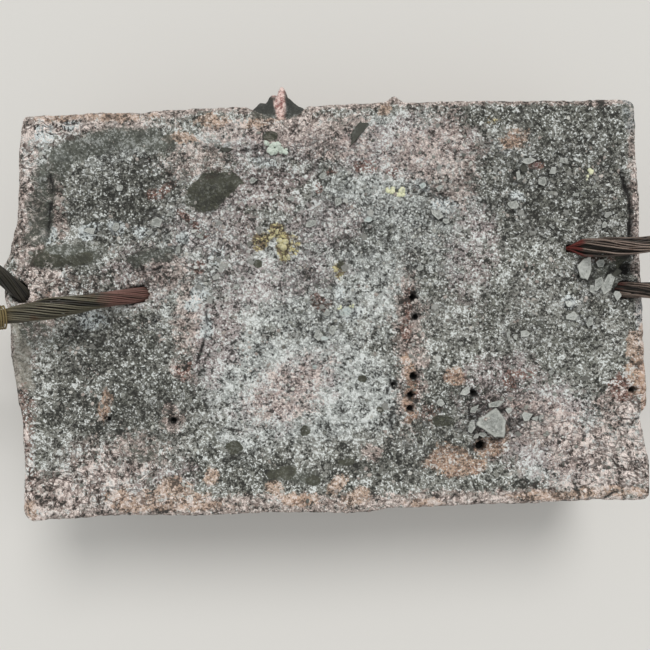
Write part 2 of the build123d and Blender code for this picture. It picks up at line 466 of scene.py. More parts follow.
def wireDrift(tree, given, index, length):  # each wire wanders a little, by its own noise
    lane = plus(times(index, 3.7), given["Seed"])
    spot = addNode(tree, "ShaderNodeCombineXYZ", {0: times(length, 16.0), 1: lane}).outputs[0]
    return swing(noiseNode(spot, 1.0, 1.0), 2.0)


def wireOffset(tree, given, index, parameter, random, drawn):  # from the rope's line to the wire's own place
    length, factor = parameter["Length"], parameter["Factor"]
    drift = times(wireDrift(tree, given, index, length), given["Wander"])
    opened = times(bumpAlong(factor, given["Splay Place"], given["Splay Reach"]), given["Splay"],
                   plus(0.45, times(random, 0.75)))
    ring = times(minus(given["Rope Radius"], given["Wire Radius"]),
                 minus(plus(1.0, opened), drawn))
    sway = times(mathNode("DIVIDE", drift, given["Rope Radius"]), 3.0)
    angle = plus(layAngle(given, index, length, random), sway)
    normal = tree.nodes.new("GeometryNodeInputNormal").outputs[0]
    tangent = tree.nodes.new("GeometryNodeInputTangent").outputs[0]
    across = vectorNode("CROSS_PRODUCT", tangent, normal)
    way = vectorNode("ADD", vectorNode("SCALE", normal, mathNode("COSINE", angle)),
                     vectorNode("SCALE", across, mathNode("SINE", angle)))
    return vectorNode("SCALE", way, plus(ring, drift))


def hiddenCore(tree, given, line, along, drawn):  # inner layer, so that the rope is full
    inner = storeValue(line, "along", along)
    thick = minus(given["Rope Radius"], times(given["Wire Radius"], 1.9))
    narrowed = minus(1.0, drawn)
    values = {"Resolution": 12, "Radius": thick}
    profile = addNode(tree, "GeometryNodeCurvePrimitiveCircle", values).outputs[0]
    inner = addNode(tree, "GeometryNodeSetCurveRadius", {"Curve": inner, "Radius": narrowed}).outputs[0]
    values = {"Curve": inner, "Profile Curve": profile, "Fill Caps": True}
    inner = addNode(tree, "GeometryNodeCurveToMesh", values)
    if "Scale" in inner.inputs:
        tree.links.new(narrowed, inner.inputs["Scale"])
    values = {"Geometry": inner.outputs[0], "Material": given["Inner Finish"]}
    return addNode(tree, "GeometryNodeSetMaterial", values).outputs[0]


def laidWireTree():  # wires laid round a line, opened out where the splay is
    tree, given, out = newGroup(
        "laidWires", "GeometryNodeTree",
        [("Line", "shape"), ("Wires", "count", 20), ("Wire Radius", "number", 0.0015),
         ("Rope Radius", "number", 0.012), ("Lay Length", "number", 0.4), ("Step", "number", 0.005),
         ("Sides", "count", 6), ("Wander", "number", 0.0005), ("Splay", "number", 0.1),
         ("Splay Place", "number", 0.1), ("Splay Reach", "number", 0.1), ("Pinch", "number", 0.0),
         ("Pinch Place", "number", 0.0), ("Pinch Reach", "number", 0.05), ("Cross", "number", 0.0),
         ("Seed", "count", 1), ("Finish", "finish"), ("Inner Finish", "finish")],
        {"shape": ["Geometry"]})
    line = addNode(tree, "GeometryNodeMeshToCurve", {"Mesh": given["Line"]}).outputs[0]
    values = {"Curve": line, "Length": given["Step"]}
    line = addNode(tree, "GeometryNodeResampleCurve", values, mode="LENGTH").outputs[0]
    values = {"Geometry": line, "Amount": given["Wires"]}
    copies = addNode(tree, "GeometryNodeDuplicateElements", values, domain="SPLINE")
    index = copies.outputs["Duplicate Index"]
    parameter = tree.nodes.new("GeometryNodeSplineParameter").outputs
    values = {"Min": 0.0, "Max": 1.0, "ID": index, "Seed": given["Seed"]}
    random = addNode(tree, "FunctionNodeRandomValue", values, data_type="FLOAT").outputs[1]
    drawn = bumpAlong(parameter["Factor"], given["Pinch Place"], given["Pinch Reach"])
    drawn = times(drawn, given["Pinch"])
    offset = wireOffset(tree, given, index, parameter, random, drawn)
    values = {"Geometry": copies.outputs[0], "Offset": offset}
    wires = addNode(tree, "GeometryNodeSetPosition", values).outputs[0]
    wires = storeValue(wires, "along", parameter["Factor"])
    wires = storeValue(wires, "wire", random)
    values = {"Resolution": given["Sides"], "Radius": given["Wire Radius"]}
    profile = addNode(tree, "GeometryNodeCurvePrimitiveCircle", values).outputs[0]
    values = {"Curve": wires, "Profile Curve": profile, "Fill Caps": True}
    wires = addNode(tree, "GeometryNodeCurveToMesh", values).outputs[0]
    values = {"Geometry": wires, "Material": given["Finish"]}
    wires = addNode(tree, "GeometryNodeSetMaterial", values).outputs[0]
    inner = hiddenCore(tree, given, line, parameter["Factor"], drawn)
    joined = tree.nodes.new("GeometryNodeJoinGeometry")
    tree.links.new(inner, joined.inputs[0])
    tree.links.new(wires, joined.inputs[0])
    smooth = addNode(tree, "GeometryNodeSetShadeSmooth", {"Geometry": joined.outputs[0]}).outputs[0]
    real = addNode(tree, "GeometryNodeRealizeInstances", {"Geometry": smooth}).outputs[0]
    tree.links.new(real, out.inputs[0])
    return tree


def runTree(tree, base, name, values):  # evaluates a node tree on a base mesh and keeps the plain mesh
    modifier = base.modifiers.new("nodes", "NODES")
    modifier.node_group = tree
    for socket in tree.interface.items_tree:
        if socket.in_out == "INPUT" and socket.name in values:
            modifier[socket.identifier] = values[socket.name]
    made = linkObject(name, evaluatedMesh(base, name))
    bpy.data.objects.remove(base)
    return made


def wireMaterial(name, finish):  # oiled, scorched steel wire: copper red where it starts in the metal; at its far end copper red on the right rope and painted shade on the left one
    material, tree, shader = newMaterial(name)
    place = objectPlace(tree)
    along, wire = maskOf(tree, "along"), maskOf(tree, "wire")
    cloud = noiseNode(place, 34.0, 4.0)
    fine = noiseNode(place, 900.0, 2.0)
    colour = mixNode(rangeNode(wire, 0.15, 0.85), finish["dark"], finish["light"])
    colour = placeGroup(tree, scorch, Base=colour, Stain=finish["rust"], Amount=0.3, Scale=70.0)["Color"]
    # golden strands near the splay, partly golden wire and partly painted highlight
    if "gold" in finish:
        away = mathNode("ABSOLUTE", minus(along, finish["goldPlace"]))
        near = rangeNode(away, finish["goldReach"], finish["goldReach"] * 0.3)
        colour = mixNode(times(near, rangeNode(wire, 0.1, 0.6)), colour, finish["gold"])
    edge = plus(along, swing(cloud, 0.09))
    start = rangeNode(edge, finish["startReach"], finish["startReach"] * 0.72)
    end = rangeNode(edge, 1 - finish["endReach"], 1 - finish["endReach"] * 0.6)
    colour = mixNode(times(start, rangeNode(wire, -0.2, 0.5)), colour, finish["red"])
    # copper red at the far end of the right rope, painted shade at the far end of the left rope
    colour = mixNode(times(end, 0.7), colour, finish["endRedAndShade"])
    colour = greyed(colour, rangeNode(fine, 0.3, 0.62, 0.72, 1.12))
    finishShader(shader, colour, rangeNode(cloud, 0.3, 0.7, 0.34, 0.6), fine, 0.35, 0.4,
                 Metallic=0.35, Specular_IOR_Level=0.6)
    return material


def darkMaterial(name, colour):  # dull wire or grease, in two tones
    material, tree, shader = newMaterial(name)
    grease = noiseNode(objectPlace(tree), 260.0, 3.0)
    darker = tuple(c * 0.6 for c in colour[:3]) + (1.0,)
    finishShader(shader, mixNode(grease, darker, colour), 0.8)
    return material


# the left rope's end tone is painted shade on its lower leg
leftWireFinish = wireMaterial("brownedRopeWire", {
    "dark": tint(42, 40, 34), "light": tint(98, 94, 78), "rust": tint(84, 64, 46),
    "gold": tint(114, 100, 68), "goldPlace": 0.35, "goldReach": 0.06,
    "red": tint(122, 88, 80), "startReach": 0.155, "endRedAndShade": tint(54, 51, 49), "endReach": 0.24})
rightWireFinish = wireMaterial("frayedRopeWire", {
    "dark": tint(34, 29, 26), "light": tint(136, 120, 110), "rust": tint(84, 60, 48),
    "red": tint(122, 56, 50), "startReach": 0.075, "endRedAndShade": tint(104, 44, 42), "endReach": 0.12})
ropeGrease = darkMaterial("ropeGrease", tint(40, 36, 30))
laidWires = laidWireTree()


ropeLengths = {"wireRadius": "Wire Radius", "layLength": "Lay Length", "step": "Step", "wander": "Wander"}
ropeNumbers = {
    "wires": "Wires", "sides": "Sides", "splay": "Splay", "splayPlace": "Splay Place",
    "splayReach": "Splay Reach", "pinch": "Pinch", "pinchPlace": "Pinch Place", "pinchReach": "Pinch Reach",
    "cross": "Cross", "seed": "Seed",
}


def makeRope(name, rope, line, finish, withPieces=()):
    radius = rope["diameter"] / 2 * millimetre
    values = {"Finish": finish, "Inner Finish": ropeGrease, "Rope Radius": radius}
    values.update({label: rope[key] * millimetre for key, label in ropeLengths.items()})
    values.update({label: rope[key] for key, label in ropeNumbers.items()})
    base = meshObject(name + "Line", line, [], edges=[(i, i + 1) for i in range(len(line) - 1)])
    made = runTree(laidWires, base, name, values)
    finishPiece(made, ("lifting_" + name,))


binding = {
    "middle": (-484, -3, 301), "turns": 5, "radius": 16.5, "pitch": 3.4, "wire": 1.3,
    "heading": 188, "lean": 36,
}


def makeBinding():  # the turns of thin wire that show at the left rope's bend
    heading, lean = math.radians(binding["heading"]), math.radians(binding["lean"])
    axis = Vector((math.cos(heading) * math.cos(lean), math.sin(heading) * math.cos(lean), math.sin(lean)))
    side = axis.cross(Vector((0, 0, 1))).normalized()
    upward = side.cross(axis)
    data = bpy.data.curves.new("bindingLine", "CURVE")
    data.dimensions = "3D"
    data.bevel_depth = binding["wire"] * millimetre
    data.bevel_resolution = 2
    data.use_fill_caps = True
    spline = data.splines.new("POLY")
    stepsEachTurn = 28
    spline.points.add(binding["turns"] * stepsEachTurn)
    for k, point in enumerate(spline.points):
        turn = k / stepsEachTurn
        along = axis * (binding["pitch"] * (turn - binding["turns"] / 2))
        out = side * math.cos(turn * 2 * math.pi) + upward * math.sin(turn * 2 * math.pi)
        point.co = tuple((Vector(binding["middle"]) + along + out * binding["radius"]) * millimetre) + (1,)
    line = linkObject("bindingLine", data)
    made = linkObject("rope_binding", evaluatedMesh(line, "rope_binding"))
    bpy.data.objects.remove(line)
    made.data.materials.clear()
    made.data.materials.append(darkMaterial("bindingWire", tint(128, 112, 74)))
    shadeSmooth(made)
    finishPiece(made)
    return made


makeRope("rope_left", leftRope, leftLine, leftWireFinish, [makeBinding()])
makeRope("rope_right", rightRope, rightLine, rightWireFinish)
print("ropes laid")


# The casting: rim outline, open face, walls and foot, all in millimetres until the mesh is made

casting = {
    "halfX": 486.0, "halfY": 315.0, "height": 222.0, "draft": 5.0, "corner": 16.0,
    "foot": 14.0, "footHeight": 30.0, "rimRise": 5.0, "rimWidth": 70.0, "bowl": 7.0,
    "plateau": (-62.0, -104.0, 300.0, 230.0, 6.0, 60.0),
    "ridge": (118.0, -78.0, 210.0, 60.0, 7.0),
    "trough": (-200.0, 60.0, 242.0, 80.0, 5.0),
    "dish": (320.0, 150.0, 170.0, 5.0),
    "flow": (2.0, 150.0),
    "columns": 300, "rows": 194, "coarseRelief": 1.5, "mediumRelief": 1.3, "fineRelief": 0.6, "wrinkles": 1.5,
    "wallDepths": [0.9, 2.2, 4.2, 7, 10.5, 14.5, 19, 24, 29, 34, 39, 44, 50, 57, 65, 75, 87, 101, 117,
                   134, 152, 168, 181, 192],
    "footSteps": 5,
}
rimShape = {
    "bow": 6.0, "endHollow": 4.0,  # the long sides stand out, the short ones in
    "bulge": 30.0, "bulgeY": 78.0, "bulgeBehind": 120.0, "bulgeBefore": 250.0,  # blunt left end
    "chips": 1.2, "fineChips": 0.8, "chipsIn": 0.4,
    "calmWidth": 14.0, "dropWidth": 7.0, "drop": 3.2,  # relief fades and the level drops towards the edge
}
holeEdge = {"drawn": 1.7, "gap": 0.3, "wider": 0.9, "slope": 1.4, "darkWider": 2.2, "darkSlope": 1.8}
socketShape = {"above": 14.0, "below": 9.0, "deepest": 26.0, "fade": 5.0}
grooveShape = {"halfWidth": 4.4, "depth": 6.0, "darkHalfWidth": 4.2}
overflow = {
    "x": -80.0, "skirtHalf": 50.0, "skirtReach": 41.0, "skirtDepth": 38.0,
    "tongueX": -72.0, "tongueHalf": 16.0, "tongueReach": 48.0, "tongueDepth": 28.0,
}
rimSides = {  # where the rim stands, read along each side
    "front": [(-480, -318), (-345, -312), (-268, -314), (-218, -317), (-108, -314), (-14, -317), (46, -319),
        (82, -312), (144, -313), (221, -311), (307, -312), (404, -308), (474, -311)],
    "right": [(-302, 484), (-246, 486), (-180, 474), (-164, 485), (-73, 486), (-4, 484), (106, 485),
        (170, 485), (263, 484), (313, 482)],
    "back": [(-475, 316), (-357, 319), (-301, 318), (-263, 321), (-128, 322), (-108, 314), (-93, 306),
        (-76, 300), (-60, 302), (-45, 308), (-28, 320), (60, 322), (88, 322), (104, 331), (122, 321),
        (224, 321), (334, 319), (428, 317), (478, 315)],
    "left": [(-310, -489), (-233, -486), (-159, -489), (-120, -496), (-57, -504), (-19, -505), (30, -512),
        (76, -516), (96, -505), (153, -491), (216, -487), (263, -486), (295, -482), (315, -480)],
}
swells = [  # x, y, length, width, turn, height
    (-187, 192, 116, 88, 25, 5), (-283, 86, 112, 62, 5, 5), (-415, 94, 140, 58, 5, 4),
    (-430, 180, 52, 150, 0, 4), (-213, 143, 66, 50, -40, 2.5), (32, 206, 104, 54, 0, 3.5),
    (291, 250, 84, 66, 0, 3.5), (318, 206, 96, 62, 0, 3), (426, 42, 128, 116, 0, 4.5),
    (460, -127, 88, 84, 0, 4), (430, -245, 180, 92, -30, 3.5), (245, -181, 100, 80, 0, 3),
    (177, -241, 130, 84, 10, 4.5), (28, -292, 92, 56, 0, 3.5), (-74, -293, 96, 56, 0, 3.5),
    (-194, -263, 84, 56, 60, 3), (-289, -287, 104, 56, 0, 3), (-309, -221, 96, 62, 0, 3.5),
    (-150, -248, 66, 62, 0, -3.5), (190, -150, 70, 66, 0, -3.5), (60, 120, 150, 70, 20, -3),
]
gasHoles = [  # x, y, diameter, depth
    (126, 15, 9, 16), (130, -16, 8, 14), (124, -109, 10, 18), (92, -122, 7, 12), (119, -138, 9, 16),
    (117, -159, 8, 14), (229, -223, 14, 24), (218, -138, 9, 14), (-256, -169, 8, 14), (-356, -163, 6, 10),
    (462, -139, 7, 14),
]
sunkPits = [  # x, y, diameter, depth
    (233, -222, 50, 8), (442, -163, 30, 7), (-256, -169, 28, 4), (463, 50, 26, 12), (459, 24, 22, 10),
    (-89, 275, 24, 4), (452, 206, 20, 6), (300, 206, 34, 3), (190, -150, 46, 3), (-150, -250, 40, 3),
]
rimGroove = [(467, 98), (471, 118), (472, 140), (470, 160), (465, 184), (460, 204)]
deepCracks = [  # points, width, depth
    ([(-202, 263), (-178, 259), (-155, 260), (-130, 254), (-109, 256)], 3.2, 3.5),
    ([(-296, 250), (-273, 242), (-253, 225), (-248, 212)], 3.0, 3.0),
    ([(-303, -1), (-296, -10), (-284, -14), (-272, -7)], 3.2, 4.0),
    ([(-199, 6), (-200, -27), (-207, -57), (-216, -80)], 2.8, 3.0),
    ([(464, -95), (470, -100), (476, -106)], 2.6, 3.0), ([(486, -184), (474, -182), (466, -186)], 2.6, 3.0),
    ([(-306, 80), (-296, 70), (-276, 70), (-262, 78)], 3.4, 4.0),
    ([(-440, 232), (-434, 200), (-441, 160), (-446, 126)], 3.4, 3.5),
    ([(86, -38), (90, -80), (84, -120), (80, -150), (90, -200)], 3.4, 2.6),
    ([(185, -190), (215, -200), (232, -214)], 3.0, 3.0),
    ([(210, -166), (224, -172), (206, -178)], 3.0, 3.0),
    ([(396, 68), (392, 44), (386, 20), (392, 6)], 2.8, 3.0),
    ([(452, 6), (440, 20), (434, 40), (440, 58)], 3.0, 4.0),
    ([(412, -306), (430, -296), (446, -300)], 2.6, 2.6),
    ([(170, -318), (176, -300), (190, -288)], 2.6, 2.0), ([(-420, 60), (-400, 52), (-380, 56)], 3.0, 2.0),
]
raisedLines = [  # points, width, height
    ([(-414, 232), (-424, 200), (-430, 165), (-434, 128)], 12, 2.5),
    ([(122, 26), (116, -10), (114, -40), (107, -83), (113, -125), (119, -170)], 10, 3.2),
    ([(320, -186), (335, -190), (351, -197), (370, -206), (384, -212)], 5, 3.0),
    ([(319, -219), (340, -230), (373, -240), (400, -256), (429, -279)], 5, 3.0),
    ([(-456, 134), (-452, 176), (-442, 218), (-419, 254), (-374, 279), (-319, 288), (-267, 284)], 20, 3.2),
    ([(-470, -60), (-476, -100), (-470, -150), (-468, -200)], 12, 2.0),
    ([(-130, -110), (-60, -90), (0, -76)], 6, 1.6), ([(-110, -138), (-40, -120), (20, -110)], 6, 1.6),
    ([(-214, -10), (-208, -50), (-214, -110), (-222, -170), (-206, -216)], 10, 2.5),
    ([(-440, -246), (-410, -230), (-380, -236)], 6, 2.4),
    ([(-420, -280), (-390, -262), (-356, -262)], 6, 2.4),
    ([(-372, -220), (-344, -206), (-320, -212)], 6, 2.2),
    ([(-345, -262), (-318, -246), (-296, -252)], 6, 2.2), ([(345, -148), (366, -158), (384, -166)], 5, 2.5),
    ([(330, -246), (350, -262), (378, -262)], 5, 2.5), ([(400, -196), (420, -214), (428, -236)], 5, 2.2),
    ([(-428, -176), (-410, -190), (-396, -204)], 5, 2.0),
    ([(-410, -226), (-384, -244), (-346, -256)], 5, 2.4),
    ([(-454, -268), (-436, -280), (-410, -288)], 5, 2.2),
    ([(-334, -206), (-352, -190), (-368, -182)], 5, 2.0), ([(-440, 298), (-420, 290), (-396, 294)], 5, 2.2),
    ([(-470, 60), (-452, 46), (-424, 50)], 5, 2.2), ([(-380, 40), (-356, 46), (-334, 40)], 5, 2.0),
    ([(280, -262), (296, -280), (320, -290)], 5, 2.0), ([(440, -180), (452, -200), (470, -214)], 5, 2.2),
    ([(60, -268), (96, -262), (130, -272), (170, -262)], 8, 2.2),
    ([(-60, -276), (-20, -268), (20, -276)], 8, 2.0),
]
lumps = [  # small ones that the model leaves out: x, y, reach along, reach across, turn, height
    (-160, 200, 30, 14, 10, 2.5), (-456, 88, 20, 18, 0, 2), (-300, 92, 26, 9, 5, 2.5),
    (-359, -138, 14, 30, 0, 2.5), (139, -304, 28, 10, 0, 2.5), (-59, -261, 34, 12, 0, 2.5),
    (452, 66, 20, 14, 20, 2.5), (86, -232, 22, 12, 20, 2), (-340, 150, 30, 16, 60, 2),
    (260, 250, 18, 12, 0, 2),
]
wrinkledSpots = [  # x, y, reach along, reach across, turn, strength
    (-396, -250, 90, 60, 20, 1), (-424, 292, 60, 22, 0, 1), (-470, 30, 26, 60, 0, 0.9),
    (-410, 40, 55, 26, -10, 1), (420, -240, 90, 60, -30, 0.9), (-60, 290, 110, 24, 0, 0.8),
    (446, -170, 34, 44, 0, 0.6), (-330, -285, 120, 24, 0, 0.8), (250, -292, 200, 20, 0, 0.8),
    (-60, -130, 110, 70, 20, 0.35), (-380, 215, 50, 40, 30, 0.6), (330, -215, 60, 36, -30, 0.8),
]


def castLevel(x, y):  # open face of the model, in millimetres
    c = casting
    fromRim = np.minimum(c["halfX"] - np.abs(x), c["halfY"] - np.abs(y))
    level = c["height"] + c["rimRise"] * (1 - ease(fromRim / c["rimWidth"]))
    level = level - c["bowl"] * np.sqrt(hump(x, c["halfX"]) * hump(y, c["halfY"]))
    px, py, length, width, rise, edge = c["plateau"]
    alongX, alongY = length / 2 - np.abs(x - px), width / 2 - np.abs(y - py)
    level = level + rise * ease(alongX / edge) * ease(alongY / edge)
    rx, ry, length, width, rise = c["ridge"]
    level = level + rise * hump(x - rx, width) * hump(y - ry, length)
    tx, ty, radius, width, depth = c["trough"]
    inQuarter = ease((tx - x) / width) * ease((y - ty) / width)
    level = level - depth * hump(np.hypot(x - tx, y - ty) - radius, width) * inQuarter
    dx, dy, radius, depth = c["dish"]
    level = level - depth * hump(np.hypot(x - dx, y - dy), radius)
    rise, length = c["flow"]
    level = level + rise * np.sin(2 * math.pi * (0.4 * x - y) / length) * ease(x / c["halfX"])
    for cx, cy, length, width, turn, rise in swells:
        along, across = turned(x - cx, y - cy, turn)
        level = level + rise * hump(np.hypot(2 * along / length, 2 * across / width), 1)
    return level


def blobMask(x, y, spec, seed=0):  # 1 inside an oval, 0 outside, 0.5 on its edge, which wanders
    cx, cy, rx, ry, turn, strength = spec
    along, across = turned(x - cx, y - cy, turn)
    q = np.hypot(along / rx, across / ry)
    q = q + 0.3 * latticeNoise(x, y, max(12.0, min(rx, ry) * 0.8), 300 + seed)
    return strength * ease(1.5 - q)


def strokeMask(x, y, points, halfWidth, strength, seed=0):
    d, _ = lineDistance(x, y, points)
    q = d / halfWidth + 0.3 * latticeNoise(x, y, max(8.0, halfWidth), 500 + seed)
    return strength * ease(1.5 - q)


def fadedEnds(along, sharpness, least):  # 1 along a line, falling at both its ends
    return ease(np.minimum(along, 1 - along) * sharpness + least)


def reliefAt(x, y):  # what the crust adds to the cast face
    c = casting
    z = c["coarseRelief"] * layeredNoise(x, y, 36, 3, 5) + c["mediumRelief"] * layeredNoise(x, y, 13, 2, 21)
    z = z + c["fineRelief"] * latticeNoise(x, y, 6.2, 33)
    wrinkled = sum(blobMask(x, y, spec, i) for i, spec in enumerate(wrinkledSpots))
    slanted = latticeNoise((x * 0.86 + y * 0.5), (y * 0.86 - x * 0.5) * 0.36, 7.5, 41)
    z = z + c["wrinkles"] * np.clip(wrinkled, 0, 1) * (1 - 2 * np.abs(slanted))
    for points, width, rise in raisedLines:
        d, along = lineDistance(x, y, points)
        uneven = 0.75 + 0.5 * latticeNoise(x, y, 16, 61)
        z = z + rise * np.exp(-(d / width) ** 2 * 1.6) * uneven * fadedEnds(along, 8, 0.25)
    for i, (*oval, rise) in enumerate(lumps):
        z = z + rise * blobMask(x, y, (*oval, 1), 40 + i)
    for points, width, depth in deepCracks:
        d, along = lineDistance(x, y, points)
        z = z - depth * np.exp(-(d / width) ** 2) * fadedEnds(along, 10, 0.3)
    for px, py, diameter, depth in sunkPits:
        d = np.hypot(x - px, y - py) / (diameter / 2)
        z = z - depth * np.sqrt(np.clip(1 - d ** 2, 0, 1))
    d, along = lineDistance(x, y, rimGroove)
    uneven = 0.75 + 0.5 * latticeNoise(x, y, 12, 77)
    halfWidth = grooveShape["halfWidth"] * uneven * fadedEnds(along, 4, 0.35)
    return z - grooveShape["depth"] * ease(1.6 - d / halfWidth)


def sideRun(side, at):  # the ragged rim along one side, with its corners worn
    keys, values = zip(*rimSides[side])
    fine = np.linspace(min(at), max(at), 1400)
    kernel = np.hanning(17)
    read = np.convolve(np.pad(np.interp(fine, keys, values), 8, "edge"), kernel / kernel.sum(), "valid")
    return np.interp(at, fine, read)


def closeLoop(sides):  # joins four sides by round corners; gives the loop and the middles of its corners
    arc = np.linspace(0, math.pi / 2, 60)[1:-1]
    xs, ys, corners = [], [], []
    for i, (sideX, sideY) in enumerate(sides):
        nextX, nextY = sides[(i + 1) % 4]
        ax, ay, bx, by = sideX[-1], sideY[-1], nextX[0], nextY[0]
        if i % 2 == 0:
            cornerX, cornerY = ax + (bx - ax) * np.sin(arc), by + (ay - by) * np.cos(arc)
        else:
            cornerX, cornerY = bx + (ax - bx) * np.cos(arc), ay + (by - ay) * np.sin(arc)
        xs += [sideX, cornerX]
        ys += [sideY, cornerY]
        corners.append(sum(len(run) for run in xs) - len(arc) // 2)
    return np.stack([np.concatenate(xs), np.concatenate(ys)], 1), corners


def rimLoops():  # plain, bulged and ragged rim, with the same count of points, from the front left corner
    hx, hy, r = casting["halfX"], casting["halfY"], casting["corner"]
    t = np.linspace(0, 1, 700)
    xs, ys = -hx + r + t * (2 * hx - 2 * r), -hy + r + t * (2 * hy - 2 * r)
    backX, leftY = xs[::-1], ys[::-1]
    s = rimShape
    bulgeLength = np.where(ys > s["bulgeY"], s["bulgeBehind"], s["bulgeBefore"])
    bulge = s["bulge"] * hump(ys - s["bulgeY"], bulgeLength)
    bow = s["bow"] * (1 - (xs / (hx - r)) ** 2)
    hollow = s["endHollow"] * (1 - (ys / (hy - r)) ** 2)
    flat = np.ones(len(t))
    plain = [(xs, -hy * flat), (hx * flat, ys), (backX, hy * flat), (-hx * flat, leftY)]
    smooth = [(xs, -hy - bow), (hx - hollow, ys), (backX, hy + bow[::-1]), ((-hx - bulge)[::-1], leftY)]
    ragged = [(xs, sideRun("front", xs)), (sideRun("right", ys), ys), (backX, sideRun("back", backX)),
              (sideRun("left", leftY), leftY)]
    made = [closeLoop(sides) for sides in (plain, smooth, ragged)]
    return [loop for loop, _ in made], made[0][1]


def pushOut(points, amount):  # moves a closed loop's points outwards
    way = np.roll(points, -3, 0) - np.roll(points, 3, 0)
    normal = np.stack([way[:, 1], -way[:, 0]], 1) / np.maximum(np.hypot(way[:, 0], way[:, 1]), 1e-6)[:, None]
    return points + normal * np.asarray(amount)[:, None], normal


def splitRim(loops, marks):  # four sides between the corners' middles, evenly spaced, for each of the loops
    total = len(loops[0])
    counts = [casting["columns"], casting["rows"]] * 2
    sides = []
    for start, end, count in zip([marks[3]] + marks[:3], marks, counts):
        if end <= start:
            end += total
        index = np.arange(start, end + 1) % total
        gone = np.concatenate([[0], np.cumsum(np.hypot(*np.diff(loops[1][index], axis=0).T))])
        even = np.linspace(0, gone[-1], count + 1)
        runs = [loop[index] for loop in loops]
        sides.append([np.stack([np.interp(even, gone, run[:, k]) for k in (0, 1)], 1) for run in runs])
    return sides


def raggedSides():
    loops, marks = rimLoops()
    x, y = loops[2][:, 0], loops[2][:, 1]
    chipped = rimShape["chips"] * layeredNoise(x, y, 16, 2, 71) - rimShape["chipsIn"]
    chipped = chipped + rimShape["fineChips"] * latticeNoise(x, y, 6, 73)
    loops[2], _ = pushOut(loops[2], chipped)
    return splitRim(loops, marks)


def faceGrid(sides):
    front, right, back, left = [side[2] for side in sides]
    back, left = back[::-1], left[::-1]
    u = np.linspace(0, 1, casting["columns"] + 1)[None, :, None]
    v = np.linspace(0, 1, casting["rows"] + 1)[:, None, None]
    grid = (1 - v) * front[None] + v * back[None] + (1 - u) * left[:, None] + u * right[:, None]
    frontCorners = (1 - u) * (1 - v) * front[0] + u * (1 - v) * front[-1]
    grid = grid - (frontCorners + (1 - u) * v * back[0] + u * v * back[-1])
    x, y = grid[..., 0], grid[..., 1]
    for holeX, holeY, diameter, _ in gasHoles:  # rows are drawn a little towards a hole, to make it round
        dx, dy = x - holeX, y - holeY
        d = np.maximum(np.hypot(dx, dy), 1e-6)
        radius = diameter / 2
        drawn = radius + holeEdge["gap"] * np.sign(d - radius)
        wanted = np.where(np.abs(d - radius) < holeEdge["drawn"], drawn, d)
        x, y = x + dx / d * (wanted - d), y + dy / d * (wanted - d)
    return x, y


def faceHeight(x, y, sides):  # height of the face, distance from its edge, and the painted shade in and round the gas holes
    edge = [lineDistance(x, y, [tuple(p) for p in side[2][::6]] + [tuple(side[2][-1])])[0] for side in sides]
    edge = np.minimum.reduce(edge)
    z = castLevel(x, y) + reliefAt(x, y) * ease(edge / rimShape["calmWidth"] + 0.25)
    z = z - rimShape["drop"] * (1 - ease(edge / rimShape["dropWidth"])) ** 2
    holeShade = np.zeros(x.shape)
    h = holeEdge
    for holeX, holeY, diameter, depth in gasHoles:
        inside = diameter / 2 - np.hypot(x - holeX, y - holeY)
        z = z - depth * ease((inside + h["wider"]) / h["slope"])
        holeShade = np.maximum(holeShade, ease((inside + h["darkWider"]) / h["darkSlope"]))
    return z, edge, holeShade


def carveRope(x, y, z, line, clearance, radius):  # opening round a rope where it comes out of the metal, and how deep it is, used as painted shade
    points = np.array(line) / millimetre
    level = castLevel(points[:, 0], points[:, 1])
    lowest, highest = level - socketShape["below"], level + radius + socketShape["above"]
    near = points[(points[:, 2] > lowest) & (points[:, 2] < highest)]
    floor = np.full(x.shape, 1e9)
    wide = radius + clearance
    for px, py, pz in near:
        h = np.hypot(x - px, y - py)
        floor = np.where(h < wide, np.minimum(floor, pz - np.sqrt(np.maximum(wide ** 2 - h ** 2, 0))), floor)
    carved = np.clip((z - floor) / socketShape["fade"], 0, 1) * (floor < z)
    return np.where(floor < z, np.maximum(floor, z - socketShape["deepest"]), z), carved


sides = raggedSides()
faceX, faceY = faceGrid(sides)
faceZ, edgeDistance, holeShadeMask = faceHeight(faceX, faceY, sides)
half = len(rightLine) // 2
necks = [  # line, clearance, radius
    (leftLine, 1.6, 12.0), (rightLine[:half], 1.0, 5.0), (rightLine[half:], 1.6, 12.0),
]
# painted shade where the ropes come out of the metal
neckShadeMask = np.zeros(faceX.shape)
for line, clearance, radius in necks:
    faceZ, carved = carveRope(faceX, faceY, faceZ, line, clearance, radius)
    neckShadeMask = np.maximum(neckShadeMask, carved)
print("face shaped", faceX.shape, round(float(faceZ.min()), 1), round(float(faceZ.max()), 1))


def alongRim(grid):  # the grid's own edge, anticlockwise from the front left corner
    return np.concatenate([grid[0, :-1], grid[:-1, -1], grid[-1, :0:-1], grid[:0:-1, 0]])


def overflowOut(wallX, depth):  # how far the run-over and its tongue stand out of the back wall
    o = overflow
    fromSkirt, fromTongue = wallX - o["x"], wallX - o["tongueX"]
    skirt = hump(fromSkirt, o["skirtHalf"]) ** 0.42 * hump(depth - o["skirtDepth"], 20) ** 0.6
    tongue = hump(fromTongue, o["tongueHalf"]) ** 0.5 * hump(depth - o["tongueDepth"], 13) ** 0.6
    wavy = 0.9 + 0.2 * latticeNoise(fromSkirt + 60, depth * 1.4, 13, 97)
    wavy = wavy + 0.1 * latticeNoise(fromSkirt + 60, depth * 2.0, 6, 98)
    return np.maximum(o["skirtReach"] * skirt * wavy, o["tongueReach"] * tongue)


